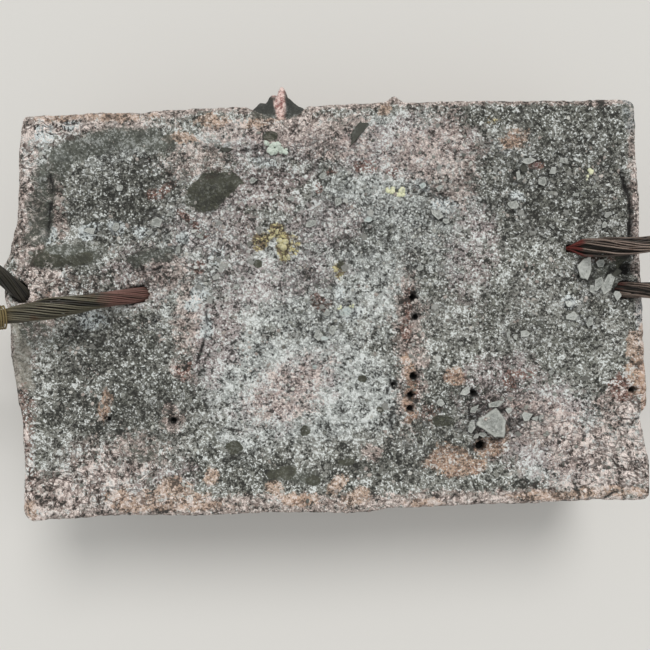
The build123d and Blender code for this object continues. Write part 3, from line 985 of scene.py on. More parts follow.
def wallLevels(rimZ):  # height, inset and depth of each ring, from the rim down to the foot
    slope = math.tan(math.radians(casting["draft"]))
    flat = np.ones(len(rimZ))
    foot = casting["foot"]
    levels = []
    for depth in casting["wallDepths"]:
        z = rimZ - depth * (rimZ - foot) / (casting["wallDepths"][-1] + 10)
        levels.append((z, (rimZ - z) * slope, depth * flat))
    for step in range(1, casting["footSteps"] + 1):
        a = step / casting["footSteps"] * math.pi / 2
        z = foot * (1 - math.sin(a)) * flat
        levels.append((z, (rimZ - z) * slope + foot * (1 - math.cos(a)), (200.0 + step) * flat))
    return levels


def lapMarks(around, z):  # laps and folds that the metal left on the walls of the mould
    ringX, ringY = 480 * np.cos(around), 480 * np.sin(around)
    laps = latticeNoise(ringX * 0.35 + z * 0.5, ringY * 0.35, 14, 91)
    laps = laps + 0.6 * latticeNoise(ringX + z * 2.5, ringY + z * 2.5, 11, 93)
    folds = latticeNoise(around * 60, z * 1.0 + 9 * latticeNoise(around * 60, z, 40, 96), 13, 95)
    return laps + 0.7 * (1 - 2 * np.abs(folds))


def wallRows():
    c = casting
    plain, smooth, _ = [np.concatenate([side[k][:-1] for side in sides]) for k in range(3)]
    rim, rimZ = np.stack([alongRim(faceX), alongRim(faceY)], 1), alongRim(faceZ)
    gone = np.concatenate([[0], np.cumsum(np.hypot(*np.diff(plain, axis=0).T))])
    around = gone / gone[-1] * 2 * math.pi
    _, normal = pushOut(smooth, np.zeros(len(plain)))
    onBack = smooth[:, 1] > c["halfY"] - 4
    made, depths = [], []
    for z, inset, depth in wallLevels(rimZ):
        slow = np.clip((z - c["footHeight"]) / (c["height"] - c["footHeight"]), 0, 1)
        fast = 1 - ease(depth / 26)
        base = plain + (smooth - plain) * slow[:, None] + (rim - smooth) * fast[:, None]
        base = base * (1 - inset[:, None] / np.array([c["halfX"], c["halfY"]]))
        out = 0.8 * lapMarks(around, z) * ease((depth - 1) / 14) * ease((z - 6) / 20) - 0.9 * ease(depth / 8)
        if depth[0] < 120:
            out = out + np.where(onBack, overflowOut(smooth[:, 0], depth), 0)
        made.append(np.column_stack([base + normal * out[:, None], z]))
        depths.append(depth)
    return made, np.concatenate(depths)


def castingFaces(ringCount, wallRings):
    rows, columns = faceX.shape
    index = np.arange(rows * columns).reshape(rows, columns)
    ring = rows * columns + np.arange(ringCount)
    rings = [alongRim(index)] + [ring + k * ringCount for k in range(wallRings)]
    quads = [gridQuads(index)]
    for upper, lower in zip(rings, rings[1:]):
        quads.append(np.stack([upper, lower, np.roll(lower, -1), np.roll(upper, -1)], -1))
    return np.concatenate(quads).tolist() + [rings[-1][::-1].tolist()]


def gridQuads(index):
    return np.stack([index[:-1, :-1], index[:-1, 1:], index[1:, 1:], index[1:, :-1]], -1).reshape(-1, 4)


# Where each finish lies on the face: ovals (x, y, reach, reach, turn, strength)

finishOvals = {
    "pale": [(-62, -125, 150, 95, 0, 1), (-60, 20, 170, 100, 0, 0.7), (40, 150, 130, 80, 20, 0.78),
        (-215, 95, 80, 90, 0, 0.62), (-330, 270, 90, 30, 0, 0.6), (110, 235, 120, 60, 0, 0.95),
        (-90, 275, 130, 34, 0, 0.7), (60, 50, 70, 90, 0, 0.7), (-250, 60, 60, 40, 0, 0.55),
        (190, 130, 60, 90, 0, 0.55), (400, -230, 110, 70, 0, 0.95), (-60, -130, 90, 60, 20, 0.8),
        (340, -160, 50, 30, 0, 0.6), (-460, 250, 22, 60, 0, 0.6)],
    "pool": [(-330, -110, 120, 90, 0, 0.85), (-150, -245, 90, 34, 0, 0.8), (60, -250, 110, 26, 0, 0.75),
        (-340, 60, 90, 30, 0, 0.7), (-350, 170, 70, 70, 0, 0.72), (340, 160, 150, 120, 0, 0.55),
        (330, -40, 120, 60, 0, 0.25), (330, 300, 150, 24, 0, 0.75), (200, -140, 70, 50, 0, 0.75),
        (110, -60, 20, 120, 0, 0.66), (420, 250, 70, 60, 0, 0.7), (-300, 220, 50, 30, 0, 0.8),
        (180, -240, 30, 60, 60, 0.6), (-120, 150, 30, 30, 0, 0.5), (430, -170, 50, 40, 0, 0.6),
        (-395, -36, 26, 16, 0, 0.9), (300, -290, 60, 16, 0, 0.6), (-40, 200, 60, 20, 0, 0.6),
        (60, 110, 50, 26, 0, 0.6), (462, 60, 16, 40, 0, 0.9)],
    "pink": [(-180, 120, 70, 60, 0, 0.8), (-120, 200, 90, 40, 0, 0.9), (-20, 130, 60, 40, 0, 0.8),
        (-190, -40, 40, 70, 0, 0.9), (-130, 40, 70, 40, 0, 0.8), (110, 250, 110, 50, 0, 0.9),
        (-80, -130, 90, 50, 30, 0.7), (320, -190, 110, 60, -30, 0.9), (260, -110, 60, 30, 0, 0.8),
        (-30, 60, 60, 40, 0, 0.7), (220, 90, 40, 90, 0, 0.6), (-350, -260, 110, 40, 0, 0.6),
        (-60, 260, 120, 30, 0, 0.8), (-300, 60, 50, 50, 0, 0.7)],
    "copper": [(-470, 120, 24, 150, 0, 0.8), (-460, 40, 34, 60, 0, 0.85), (-380, 300, 120, 14, 0, 0.8),
        (-60, 285, 120, 30, 0, 0.85), (160, 250, 70, 50, 0, 0.72), (193, 205, 40, 50, 0, 0.7),
        (-262, 60, 40, 30, 0, 0.75), (-230, 0, 22, 70, 0, 0.7), (-70, -128, 70, 40, 25, 0.62),
        (420, -250, 90, 60, 0, 0.75), (446, -163, 40, 34, 0, 0.8), (-440, -280, 60, 34, 0, 0.85),
        (-340, -235, 80, 40, 20, 0.66), (-150, -300, 330, 14, 0, 0.75), (230, -302, 250, 14, 0, 0.85),
        (-430, 175, 12, 60, 6, 0.85), (-200, 240, 60, 30, 0, 0.62), (120, -60, 26, 120, 0, 0.72),
        (340, -200, 70, 40, -30, 0.7), (300, -160, 60, 20, 0, 0.62), (-240, -92, 22, 12, -45, 0.9),
        (-256, -169, 20, 18, 0, 0.95), (-260, -150, 14, 10, 0, 0.8), (56, -227, 16, 12, 0, 0.9),
        (20, 260, 60, 26, 0, 0.66), (480, 250, 10, 70, 0, 0.8), (-468, 290, 20, 24, 0, 0.8),
        (478, 130, 8, 100, 0, 0.75)],
    "flesh": [(-80, 305, 10, 10, 0, 1), (-334, 311, 56, 8, 0, 0.9), (-232, 276, 26, 9, 0, 0.9),
        (-180, 300, 30, 10, 0, 0.8), (-420, 312, 40, 8, 0, 0.8), (28, -294, 22, 12, 20, 1),
        (-60, -296, 34, 10, 0, 1), (-98, -276, 16, 10, 0, 0.9), (0, -273, 22, 10, 40, 0.9),
        (-333, -281, 16, 12, 0, 0.9), (-259, -270, 26, 13, 0, 0.85), (-196, -258, 13, 13, 0, 0.95),
        (-318, -298, 40, 9, 0, 0.9), (-486, -304, 20, 18, 0, 0.9), (139, -306, 30, 8, 0, 1),
        (-230, -300, 60, 8, 0, 0.85), (330, -300, 60, 8, 0, 0.8), (482, -90, 8, 60, 0, 0.9),
        (470, -70, 14, 20, 0, 0.8), (300, 262, 18, 18, 0, 0.7), (-110, 296, 26, 12, 0, 0.8),
        (-280, -285, 90, 12, 0, 0.7), (255, -196, 14, 24, 30, 0.9), (90, 312, 14, 10, 0, 0.9),
        (420, -296, 90, 9, 0, 0.75)],
    "orange": [(177, -241, 36, 22, 0, 1), (200, -250, 34, 14, -10, 0.9), (239, -228, 24, 20, 0, 0.85),
        (470, -118, 18, 32, 0, 1), (480, -150, 6, 44, 0, 0.85), (291, 257, 20, 14, 0, 0.7),
        (-56, -298, 20, 8, 0, 0.8), (190, -112, 18, 16, 0, 0.8), (-362, -150, 9, 22, 0, 0.8),
        (-356, -128, 8, 14, 0, 0.75), (-456, 30, 14, 20, 0, 0.4)],
    "rust": [(-207, 72, 9, 12, 20, 1), (-276, 190, 16, 10, 0, 0.8), (-210, 72, 10, 10, 0, 0.9),
        (-480, -156, 16, 60, 0, 0.5), (-478, -230, 12, 60, 0, 0.45), (56, 224, 20, 11, 0, 0.75),
        (100, 213, 14, 8, 0, 0.7), (-16, 190, 6, 9, 0, 0.9), (0, 214, 16, 7, 30, 0.6),
        (448, -136, 16, 22, 30, 0.9), (275, -125, 12, 12, 0, 0.85), (292, -110, 24, 8, 0, 0.7),
        (-262, 195, 24, 8, 30, 0.7), (124, -128, 10, 24, 0, 0.6), (327, 218, 14, 7, 0, 1),
        (-20, 10, 14, 20, 60, 0.7), (150, -170, 26, 20, 0, 0.5), (420, 66, 30, 8, 0, 0.6)],
    "olive": [(-191, 189, 34, 30, 30, 1), (-172, 200, 36, 16, 10, 1), (-160, -211, 16, 12, 0, 0.85),
        (-116, 75, 8, 8, 0, 1), (-101, -256, 12, 8, 0, 0.95), (-78, -252, 15, 11, 0, 0.95),
        (-39, -267, 16, 8, 0, 0.95), (14, -241, 13, 7, 0, 0.9), (45, -111, 8, 7, 0, 0.9),
        (-49, -190, 9, 8, 30, 0.9), (70, -160, 8, 8, 0, 0.7), (-440, 88, 34, 12, 0, 0.75),
        (-395, 88, 30, 10, 10, 0.75), (15, 70, 10, 12, 0, 0.7), (452, 62, 10, 20, 0, 0.9),
        (-456, 92, 14, 14, 0, 0.9), (-89, 275, 13, 8, 0, 1), (456, 18, 14, 12, 0, 0.9),
        (170, -180, 22, 12, 0, 0.7)],
    "slag": [(-407, 96, 36, 14, 10, 0.95), (-283, 90, 34, 10, 5, 1), (-104, 309, 18, 8, 0, 1),
        (-54, 309, 18, 8, 0, 1), (-309, -221, 26, 14, 0, 0.6), (-59, -261, 40, 12, 0, 0.7),
        (480, 290, 20, 30, 0, 0.5), (-380, 100, 40, 20, 0, 0.6), (-470, -20, 22, 30, 0, 0.6),
        (420, 40, 30, 30, 0, 0.6)],
    "clods": [(-330, 180, 110, 70, 0, 1), (-250, 90, 70, 50, 0, 0.8), (350, 180, 130, 80, 0, 0.9),
        (60, 130, 110, 60, 0, 0.9), (-30, 10, 60, 70, 0, 0.8), (-190, 110, 60, 90, 0, 0.8),
        (250, -170, 70, 50, 0, 0.9), (410, 40, 60, 60, 0, 1), (-340, -30, 90, 40, 0, 0.8),
        (150, 90, 60, 130, 0, 0.7), (-60, 240, 160, 30, 0, 0.7), (-300, -150, 90, 60, 0, 0.5),
        (180, -200, 90, 40, 0, 0.7), (300, -30, 120, 70, 0, 0.5)],
    "frost": [(-381, 133, 17, 12, 20, 1), (-337, 137, 14, 11, 0, 1), (-446, 287, 18, 14, 0, 0.9),
        (-403, 299, 18, 8, 0, 0.9), (-379, -7, 24, 13, 0, 1), (-210, 30, 14, 16, 0, 0.9),
        (-222, 10, 12, 10, 0, 0.8), (-300, 130, 12, 10, 0, 0.8), (-232, 118, 12, 10, 0, 0.8),
        (12, 28, 10, 16, 0, 0.8), (30, -8, 20, 12, 0, 0.7), (-420, 250, 16, 10, 0, 0.6),
        (-180, 90, 14, 18, 0, 0.6), (180, 160, 26, 14, 0, 0.7), (300, 170, 14, 10, 0, 0.7),
        (-445, 130, 14, 14, 0, 0.8), (-200, -20, 12, 26, 0, 0.6), (372, 0, 14, 10, 0, 1),
        (-100, 235, 24, 10, 0, 0.6)],
    "golden": [(-108, 111, 18, 12, 30, 0.75), (-74, 98, 10, 26, 0, 1), (-87, 128, 14, 12, 0, 0.9),
        (12, 62, 9, 16, 0, 0.75), (-60, 100, 14, 20, 0, 0.6), (260, 290, 10, 8, 0, 0.5)],
    "smear": [(476, 296, 16, 26, 0, 1), (480, -30, 10, 40, 0, 0.75), (-378, -8, 22, 16, 0, 0.85),
        (148, 191, 12, 12, 0, 0.8), (470, -60, 10, 18, 0, 0.5)],
    "beige": [(-488, -66, 16, 44, 0, 1), (-496, -20, 12, 26, 0, 0.8), (-480, -100, 12, 20, 0, 0.8)],
    "white": [(-396, -250, 80, 50, 20, 0.85), (-424, 292, 60, 20, 0, 0.95), (-470, 30, 22, 50, 0, 0.7),
        (-405, 38, 55, 20, -10, 0.8), (430, -250, 90, 50, -30, 0.85), (455, -180, 30, 60, 0, 0.7),
        (-480, -230, 10, 70, 0, 0.8), (-300, -292, 120, 12, 0, 0.7), (-60, 294, 90, 14, 0, 0.7),
        (-330, -262, 60, 30, 20, 0.66), (330, -205, 50, 26, -30, 0.7), (-300, 45, 30, 16, 0, 0.6),
        (-470, -290, 30, 26, 0, 0.9), (-472, 200, 14, 90, 0, 0.8), (480, 150, 7, 80, 0, 0.95),
        (-430, 60, 60, 18, -8, 0.75), (160, -304, 90, 10, 0, 0.6), (380, -290, 90, 14, 0, 0.6),
        (-200, 225, 50, 16, 0, 0.55)],
}
finishStrokes = {  # points, half width, strength
    "orange": [([(112, -80), (118, -100), (122, -125), (112, -150), (122, -168), (114, -176)], 8, 0.95)],
    "rust": [([(122, 22), (114, -20), (114, -50)], 9, 0.62),
        ([(-236, 160), (-216, 143), (-197, 122)], 5, 1), ([(-250, -85), (-236, -98)], 4, 1),
        ([(-228, -80), (-238, -106)], 4, 1)],
    "slag": [
        ([(-458, 130), (-455, 176), (-444, 218), (-420, 250), (-374, 274),
          (-319, 282), (-262, 270)], 20, 0.92),
        ([(-455, 92), (-420, 98), (-385, 92)], 16, 1), ([(-306, 84), (-283, 92), (-256, 92)], 10, 1)],
}


def finishValue(name, x, y):
    total = np.zeros(np.shape(x))
    for i, spec in enumerate(finishOvals[name]):
        total = np.maximum(total, blobMask(x, y, spec, len(name) * 31 + i))
    for i, (points, halfWidth, strength) in enumerate(finishStrokes.get(name, [])):
        total = np.maximum(total, strokeMask(x, y, points, halfWidth, strength, len(name) * 17 + i))
    return total


# Finishes of the casting, laid one over the other in this order

castFinishes = {  # colour, how broken, blurred and coarse the patch's edge is, and its strength
    "pale": (tint(178, 182, 180), 1.1, 0.35, 70.0, 0.95),
    "pool": (tint(98, 99, 92), 1.3, 0.3, 80.0, 0.75),
    "pink": (tint(190, 170, 171), 1.6, 0.35, 60.0, 0.55),
    "copper": (tint(194, 174, 167), 1.5, 0.25, 110.0, 0.62),
    "white": (tint(158, 143, 137), 1.2, 0.25, 110.0, 0.6),
    "smear": (tint(168, 174, 176), 0.6, 0.3, 90.0, 0.8),
    "frost": (tint(220, 227, 228), 0.8, 0.12, 160.0, 1.0),
    "beige": (tint(150, 146, 136), 0.5, 0.3, 90.0, 0.9),
    "flesh": (tint(202, 174, 154), 1.1, 0.16, 110.0, 0.8),
    "rust": (tint(134, 94, 82), 0.7, 0.18, 150.0, 0.8),
    "orange": (tint(206, 176, 154), 0.8, 0.2, 110.0, 0.92),
    "golden": (tint(126, 108, 78), 0.9, 0.12, 130.0, 0.9),
    "slag": (tint(88, 91, 83), 0.85, 0.16, 100.0, 0.92),
    "olive": (tint(66, 67, 54), 0.35, 0.06, 130.0, 1.0),
}
quietShares = {"olive": 0.9, "slag": 0.68, "beige": 0.7, "orange": 0.25, "flesh": 0.2}  # few crystals there
# The dark gap, clod gap, crease and hollow tones are painted shade, the fold tone a painted highlight, and
# the fleck tones pale crystals that also serve as painted glints.
castTones = {
    "scale": tint(152, 152, 146), "scaleGreen": tint(128, 129, 121), "copperDeep": tint(166, 142, 134),
    "orangeDeep": tint(158, 126, 108), "wall": tint(112, 92, 84), "slagEdge": tint(50, 52, 48),
    "nuggetDeep": tint(158, 104, 98), "nuggetPale": tint(236, 208, 202), "gap": tint(36, 36, 33),
    "fleck": tint(240, 244, 243), "warmFleckGlint": tint(250, 236, 230), "fleckGolden": tint(226, 216, 158),
    "creaseShade": tint(74, 62, 57), "foldHighlight": tint(252, 245, 240), "clodGapShade": tint(46, 46, 42),
    "hollow": tint(20, 18, 17),
}


def raggedMask(tree, name, crumbs, breakUp, blur, size):
    values = {"Mask": maskOf(tree, name), "Crumbs": crumbs, "Break": breakUp, "Blur": blur, "Scale": size}
    return placeGroup(tree, raggedEdge, **values)["Mask"]


def patchMasks(tree, crumbs):
    masks = {}
    for name, (_, breakUp, blur, size, _) in castFinishes.items():
        masks[name] = raggedMask(tree, name, crumbs, breakUp, blur, size)
    return masks


def patchColours(masks, broad, middle):
    tones = castTones
    colour = mixNode(rangeNode(broad, 0.4, 0.6), tones["scale"], tones["scaleGreen"])
    for name, (patch, *_, strength) in castFinishes.items():
        if name == "copper":
            patch = mixNode(rangeNode(middle, 0.45, 0.6), patch, tones["copperDeep"])
        if name == "orange":
            patch = mixNode(rangeNode(middle, 0.42, 0.6), patch, tones["orangeDeep"])
        colour = mixNode(times(masks[name], strength), colour, patch)
    return colour


def wallColours(tree, colour, wall, broad, middle):  # brown walls, slag of the run-over and its pink tongue
    tones = castTones
    slag, flesh = maskOf(tree, "slag"), maskOf(tree, "flesh")
    brown = mixNode(rangeNode(broad, 0.42, 0.62), tones["wall"], tones["copperDeep"])
    brown = mixNode(rangeNode(middle, 0.55, 0.68), brown, tones["scaleGreen"])
    plainWall = mathNode("MULTIPLY", wall, minus(1.0, largest(slag, flesh)), clamp=True)
    colour = mixNode(plainWall, colour, brown)
    colour = mixNode(times(wall, slag), colour, tones["slagEdge"])
    tongue = mixNode(rangeNode(middle, 0.42, 0.56), tones["nuggetDeep"], tones["nuggetPale"])
    return mixNode(times(wall, flesh), colour, tongue)


def crystalCrowd(masks, place):  # how many pale crystals and painted glints, in clusters where the crust is white
    cluster = noiseNode(stretched(place, 0.7, (1.0, 0.5, 1.0)), 95.0, 3.0, 0.6)
    sparkle = times(rangeNode(cluster, 0.42, 0.6, -0.3, 0.9), masks["white"])
    crowd = minus(plus(0.5, times(masks["pale"], 0.12)), times(masks["pool"], 0.15))
    return plus(crowd, sparkle)


def crustColours(tree, colour, masks, crust, clods, crumbly, wrinkled, loud, middle):
    tones = castTones
    colour = greyed(colour, rangeNode(crust["Tone"], 0.36, 0.64, 0.72, 1.28, smooth=False))
    clodded = greyed(colour, rangeNode(clods["Tone"], 0.0, 1.0, 0.78, 1.34, smooth=False))
    colour = mixNode(plus(0.2, times(crumbly, 0.8)), colour, clodded)
    # painted shade in the gaps between the crystals
    gapShadeShare = times(crust["GapShade"], 0.92, plus(times(loud, 0.75), 0.25))
    colour = mixNode(gapShadeShare, colour, tones["gap"])
    # pale crystal flecks, which also serve as painted glints, warmer on copper and golden on golden patches
    warm = largest(masks["copper"], times(masks["flesh"], 0.8))
    fleckGlintColour = mixNode(warm, tones["fleck"], tones["warmFleckGlint"])
    fleckGlintColour = mixNode(masks["golden"], fleckGlintColour, tones["fleckGolden"])
    whiter = plus(0.93, times(masks["white"], 0.05))
    fleckGlintShare = mathNode("MULTIPLY", times(crust["FleckAndGlint"], loud), whiter, clamp=True)
    colour = mixNode(fleckGlintShare, colour, fleckGlintColour)
    # painted shade along the creases and painted highlight along the folds of wrinkled crust
    colour = mixNode(times(crust["CreaseShade"], wrinkled, 0.7), colour, tones["creaseShade"])
    foldHighlightShare = times(crust["FoldHighlight"], 0.8, wrinkled, rangeNode(middle, 0.46, 0.58))
    colour = mixNode(foldHighlightShare, colour, tones["foldHighlight"])
    # painted shade in the gaps between the clods
    colour = mixNode(times(clods["GapShade"], crumbly, 0.72), colour, tones["clodGapShade"])
    # painted shade in cracks, holes, pores and round the ropes
    return mixNode(maskOf(tree, "hollow"), colour, tones["hollow"])


def castSkinMaterial():
    material, tree, shader = newMaterial("castCopperSkin")
    place = objectPlace(tree)
    broad = noiseNode(place, 22.0, 6.0, 0.7)
    middle = noiseNode(place, 120.0, 4.0, 0.7)
    crumbs = noiseNode(place, 420.0, 2.0, 0.6)
    masks = patchMasks(tree, crumbs)
    wall = maskOf(tree, "wall")
    wrinkled = largest(masks["white"], times(masks["copper"], 0.6))
    crust = placeGroup(tree, crystalCrust, Scale=1.0, Flecks=crystalCrowd(masks, place),
                       Slant=times(masks["white"], 0.7))
    clods = placeGroup(tree, clodCrust, Scale=105.0)
    crumbly = raggedMask(tree, "clods", crumbs, 1.0, 0.3, 60.0)
    quiet = [times(masks[name], share) for name, share in quietShares.items()]
    quietWall = times(wall, plus(0.7, times(maskOf(tree, "slag"), 0.3)))
    loud = minus(1.0, largest(*quiet, quietWall))
    colour = patchColours(masks, broad, middle)
    colour = wallColours(tree, colour, wall, broad, middle)
    colour = crustColours(tree, colour, masks, crust, clods, crumbly, wrinkled, loud, middle)
    metal = times(wrinkled, 0.4)
    metal = mathNode("MULTIPLY", metal, plus(0.3, crust["FleckAndGlint"]), clamp=True)
    rough = minus(0.74, times(crust["FleckAndGlint"], 0.3), times(masks["olive"], 0.18))
    rise = plus(times(crust["Height"], plus(times(loud, 0.8), 0.2)),
                times(middle, 1.4), times(clods["Height"], crumbly, 1.5),
                times(minus(crust["FoldHighlight"], crust["CreaseShade"]), wrinkled, 0.9))
    finishShader(shader, colour, rough, rise, 0.7, 1.6, Metallic=metal)
    return material


# Loose flakes of oxide scale; the casting has a painted shadow line round each of the larger ones

flakes = [  # x, y, length, width, turn, kind
    (246, -186, 46, 48, 20, "scale"), (218, -164, 20, 13, 40, "scale"), (252, -156, 26, 12, 8, "scale"),
    (213, -190, 22, 12, 70, "scale"), (272, -166, 14, 10, 30, "pale"), (232, -204, 14, 9, 0, "scale"),
    (298, -176, 22, 15, 20, "pale"), (312, -180, 12, 9, 0, "scale"), (206, -136, 20, 12, 30, "pale"),
    (165, -152, 14, 12, 0, "pale"), (-274, 143, 22, 21, 8, "scale"), (-252, 156, 13, 11, 30, "scale"),
    (-285, 128, 14, 8, 0, "scale"), (-378, 133, 20, 14, 10, "pale"), (-337, 138, 16, 12, 60, "scale"),
    (-29, 136, 20, 13, 20, "scale"), (13, 169, 18, 12, 50, "scale"), (-120, 206, 15, 12, 15, "scale"),
    (22, -5, 24, 18, 10, "cyan"), (12, 2, 9, 6, 0, "yellow"), (30, 4, 8, 6, 0, "yellow"),
    (-10, -6, 16, 12, 35, "scale"), (-23, -40, 16, 22, 20, "scale"), (-2, -33, 18, 14, 70, "scale"),
    (-14, -46, 13, 10, 0, "cyan"), (175, 185, 20, 14, 15, "scale"), (289, 157, 20, 18, 0, "scale"),
    (375, -21, 22, 17, 15, "pale"), (372, -2, 16, 11, 0, "white"), (403, -32, 13, 17, -30, "scale"),
    (275, -49, 8, 22, 0, "scale"), (300, -48, 17, 13, 10, "pale"), (286, -52, 11, 10, 30, "pale"),
    (399, 52, 26, 40, -18, "pale"), (433, 26, 18, 44, -28, "scale"), (417, 28, 15, 24, -12, "scale"),
    (446, 8, 15, 22, -35, "pale"), (408, 20, 11, 20, 0, "scale"), (422, 60, 16, 12, 0, "scale"),
    (445, 44, 18, 14, 0, "dark"), (316, 225, 24, 13, 10, "pale"), (354, 208, 18, 12, 30, "scale"),
    (299, 202, 20, 15, 60, "scale"), (338, 193, 15, 17, 10, "scale"), (371, 224, 14, 11, 0, "scale"),
    (327, 218, 18, 9, 20, "red"), (308, 214, 14, 18, 40, "dark"), (-88, 257, 27, 20, -12, "mint"),
    (-73, 252, 18, 14, 0, "mint"), (96, 185, 15, 13, 10, "yellow"), (117, 182, 13, 15, 0, "yellow"),
    (108, 178, 9, 7, 0, "yellow"), (414, 205, 9, 12, 0, "yellow"), (408, 196, 7, 7, 0, "yellow"),
    (169, 144, 24, 12, -30, "pale"), (182, 134, 13, 9, -30, "scale"), (148, 191, 14, 12, 30, "cyan"),
    (-74, 103, 11, 20, 10, "gold"), (-70, 84, 12, 10, 0, "gold"), (-92, 118, 12, 9, 0, "gold"),
    (-80, 126, 14, 8, 40, "gold"), (5, 62, 8, 9, 0, "gold"), (53, 281, 60, 24, 63, "dark"),
    (-160, 256, 20, 8, 0, "dark"), (390, 170, 13, 9, 20, "scale"), (350, 120, 11, 9, 0, "scale"),
    (430, 120, 12, 9, 50, "pale"), (240, 60, 11, 8, 10, "scale"), (-150, 40, 12, 9, 20, "scale"),
    (-60, 176, 13, 9, 0, "scale"), (140, 60, 13, 9, 30, "scale"), (-10, 210, 14, 10, 10, "scale"),
    (60, 140, 14, 10, 0, "cyan"), (-330, 200, 13, 10, 20, "scale"), (200, -60, 11, 9, 0, "scale"),
    (340, -110, 12, 9, 10, "scale"), (-30, -90, 10, 8, 0, "cyan"), (-180, -60, 10, 8, 40, "scale"),
    (-205, 120, 13, 10, 10, "scale"), (-240, 100, 14, 10, 60, "scale"),
]


ropeShadeSpots = [(463, 50), (459, 24), (462, 74)]  # painted shade in the pits beside the right rope, where its shadow falls
ropeShadeReach = 9
shadowOutlineArea = 90  # flakes larger than this have a painted shadow line round them


def crackAndShadeMarks(x, y):  # painted shade in cracks, the rim groove, small pores, round the larger flakes and in the pits beside the right rope
    marks = np.zeros(len(x))
    for points, width, _ in deepCracks:
        d, along = lineDistance(x, y, points)
        broken = ease(0.7 + 1.2 * latticeNoise(x, y, 11, 78))
        marks = np.maximum(marks, broken * ease(1.5 - d / (width * 0.75)) * fadedEnds(along, 10, 0.4))
    # painted shade in the rim groove
    d, _ = lineDistance(x, y, rimGroove)
    halfWidth = grooveShape["darkHalfWidth"] * (0.75 + 0.5 * latticeNoise(x, y, 12, 77))
    marks = np.maximum(marks, ease(1.5 - d / halfWidth))
    # painted shadow line round each larger flake
    for flakeX, flakeY, length, width, turn, kind in flakes:
        if length * width > shadowOutlineArea and kind != "dark":
            along, across = turned(x - flakeX, y - flakeY, turn)
            q = np.hypot(along / (length / 2 + 0.8), across / (width / 2 + 0.8))
            broken = ease(0.9 - latticeNoise(x, y, 9, 210))
            marks = np.maximum(marks, 0.9 * ease(1 - np.abs(q - 1.04) / 0.3) * broken)
    for k, (holeX, holeY, diameter, _) in enumerate(gasHoles * 2):  # each hole has small pores beside it, drawn only as painted shade
        turn, reach = k * 2.4, diameter * 0.9
        d = np.hypot(x - holeX - reach * math.cos(turn), y - holeY - reach * math.sin(turn))
        marks = np.maximum(marks, 0.85 * ease(1.5 - d / (diameter * 0.22 + 1)))
    # painted shade in the pits beside the right rope
    for px, py in ropeShadeSpots:
        marks = np.maximum(marks, 0.95 * ease(1.6 - np.hypot(x - px, y - py) / ropeShadeReach))
    return marks


wallStains = {
    "rimWidth": 13, "rimWander": 6, "rimFade": 10, "copperDepth": 16,  # copper along the rim
    "tongueX": -75, "tongueHalf": 6, "tongueWidens": 0.26, "tongueWander": 5, "tongueDepth": 48,
    "skirtHalf": 58, "skirtDepth": 80, "behindY": 296,  # the run-over is on the back wall only
}


def paintCasting(made, top, wall, wallDepth):  # writes every finish as an attribute of the mesh
    s = wallStains
    x, y = top[:, 0], top[:, 1]
    wallX, wallY = wall[:, 0], wall[:, 1]
    rimWidth = s["rimWidth"] + s["rimWander"] * latticeNoise(x, y, 30, 120)
    rimBand = ease((rimWidth - edgeDistance.ravel()) / s["rimFade"])
    wander = s["tongueWander"] * latticeNoise(wallX + 300, wallDepth * 2, 7, 130)
    tongueHalf = s["tongueHalf"] + s["tongueWidens"] * wallDepth
    tongue = ease((tongueHalf - np.abs(wallX - s["tongueX"]) + wander) / 5)
    onBack = wallY > s["behindY"]
    tongue = np.where(onBack, tongue * ease((s["tongueDepth"] - wallDepth) / 8), 0.0)
    slagSkirt = onBack & (np.abs(wallX - overflow["x"]) < s["skirtHalf"])
    slag = np.where(slagSkirt, ease((s["skirtDepth"] - wallDepth) / 20), 0.0) * (1 - tongue)
    onWall = {"copper": 0.9 * (1 - ease(wallDepth / s["copperDepth"])), "flesh": tongue, "slag": slag}
    for name in finishOvals:
        onTop = finishValue(name, x, y)
        if name == "copper":
            onTop = np.maximum(onTop, 0.85 * rimBand)
        addAttribute(made.data, name, np.concatenate([onTop, onWall.get(name, np.zeros(len(wall)))]))
    addAttribute(made.data, "wall", np.concatenate([np.zeros(len(top)), ease(wallDepth / 20)]))
    # painted shade in cracks, gas holes, pores and round the rope exits
    hollow = np.maximum(np.maximum(crackAndShadeMarks(x, y), holeShadeMask.ravel()), neckShadeMask.ravel())
    addAttribute(made.data, "hollow", np.concatenate([hollow, np.zeros(len(wall))]))
    return hollow


def makeCasting():
    wallRings, wallDepth = wallRows()
    top = np.stack([faceX.ravel(), faceY.ravel(), faceZ.ravel()], 1)
    low, high = [np.array(corner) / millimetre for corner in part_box("ingot")]
    points = np.clip(np.concatenate([top] + wallRings), low + 0.05, high - 0.05)
    points[:, 2] = np.maximum(points[:, 2], 0)
    faces = castingFaces(len(wallRings[0]), len(wallRings))
    made = meshObject("cast_block", points * millimetre, faces, castSkinMaterial())
    hollow = paintCasting(made, top, points[len(top):], wallDepth)
    shadeSmooth(made)
    finishPiece(made, ("ingot",))
    print("casting made", len(faces), "faces")
    return hollow.reshape(faceX.shape)


hollowShadeMask = makeCasting()


# Crumbs and chips of crust, scattered over the face

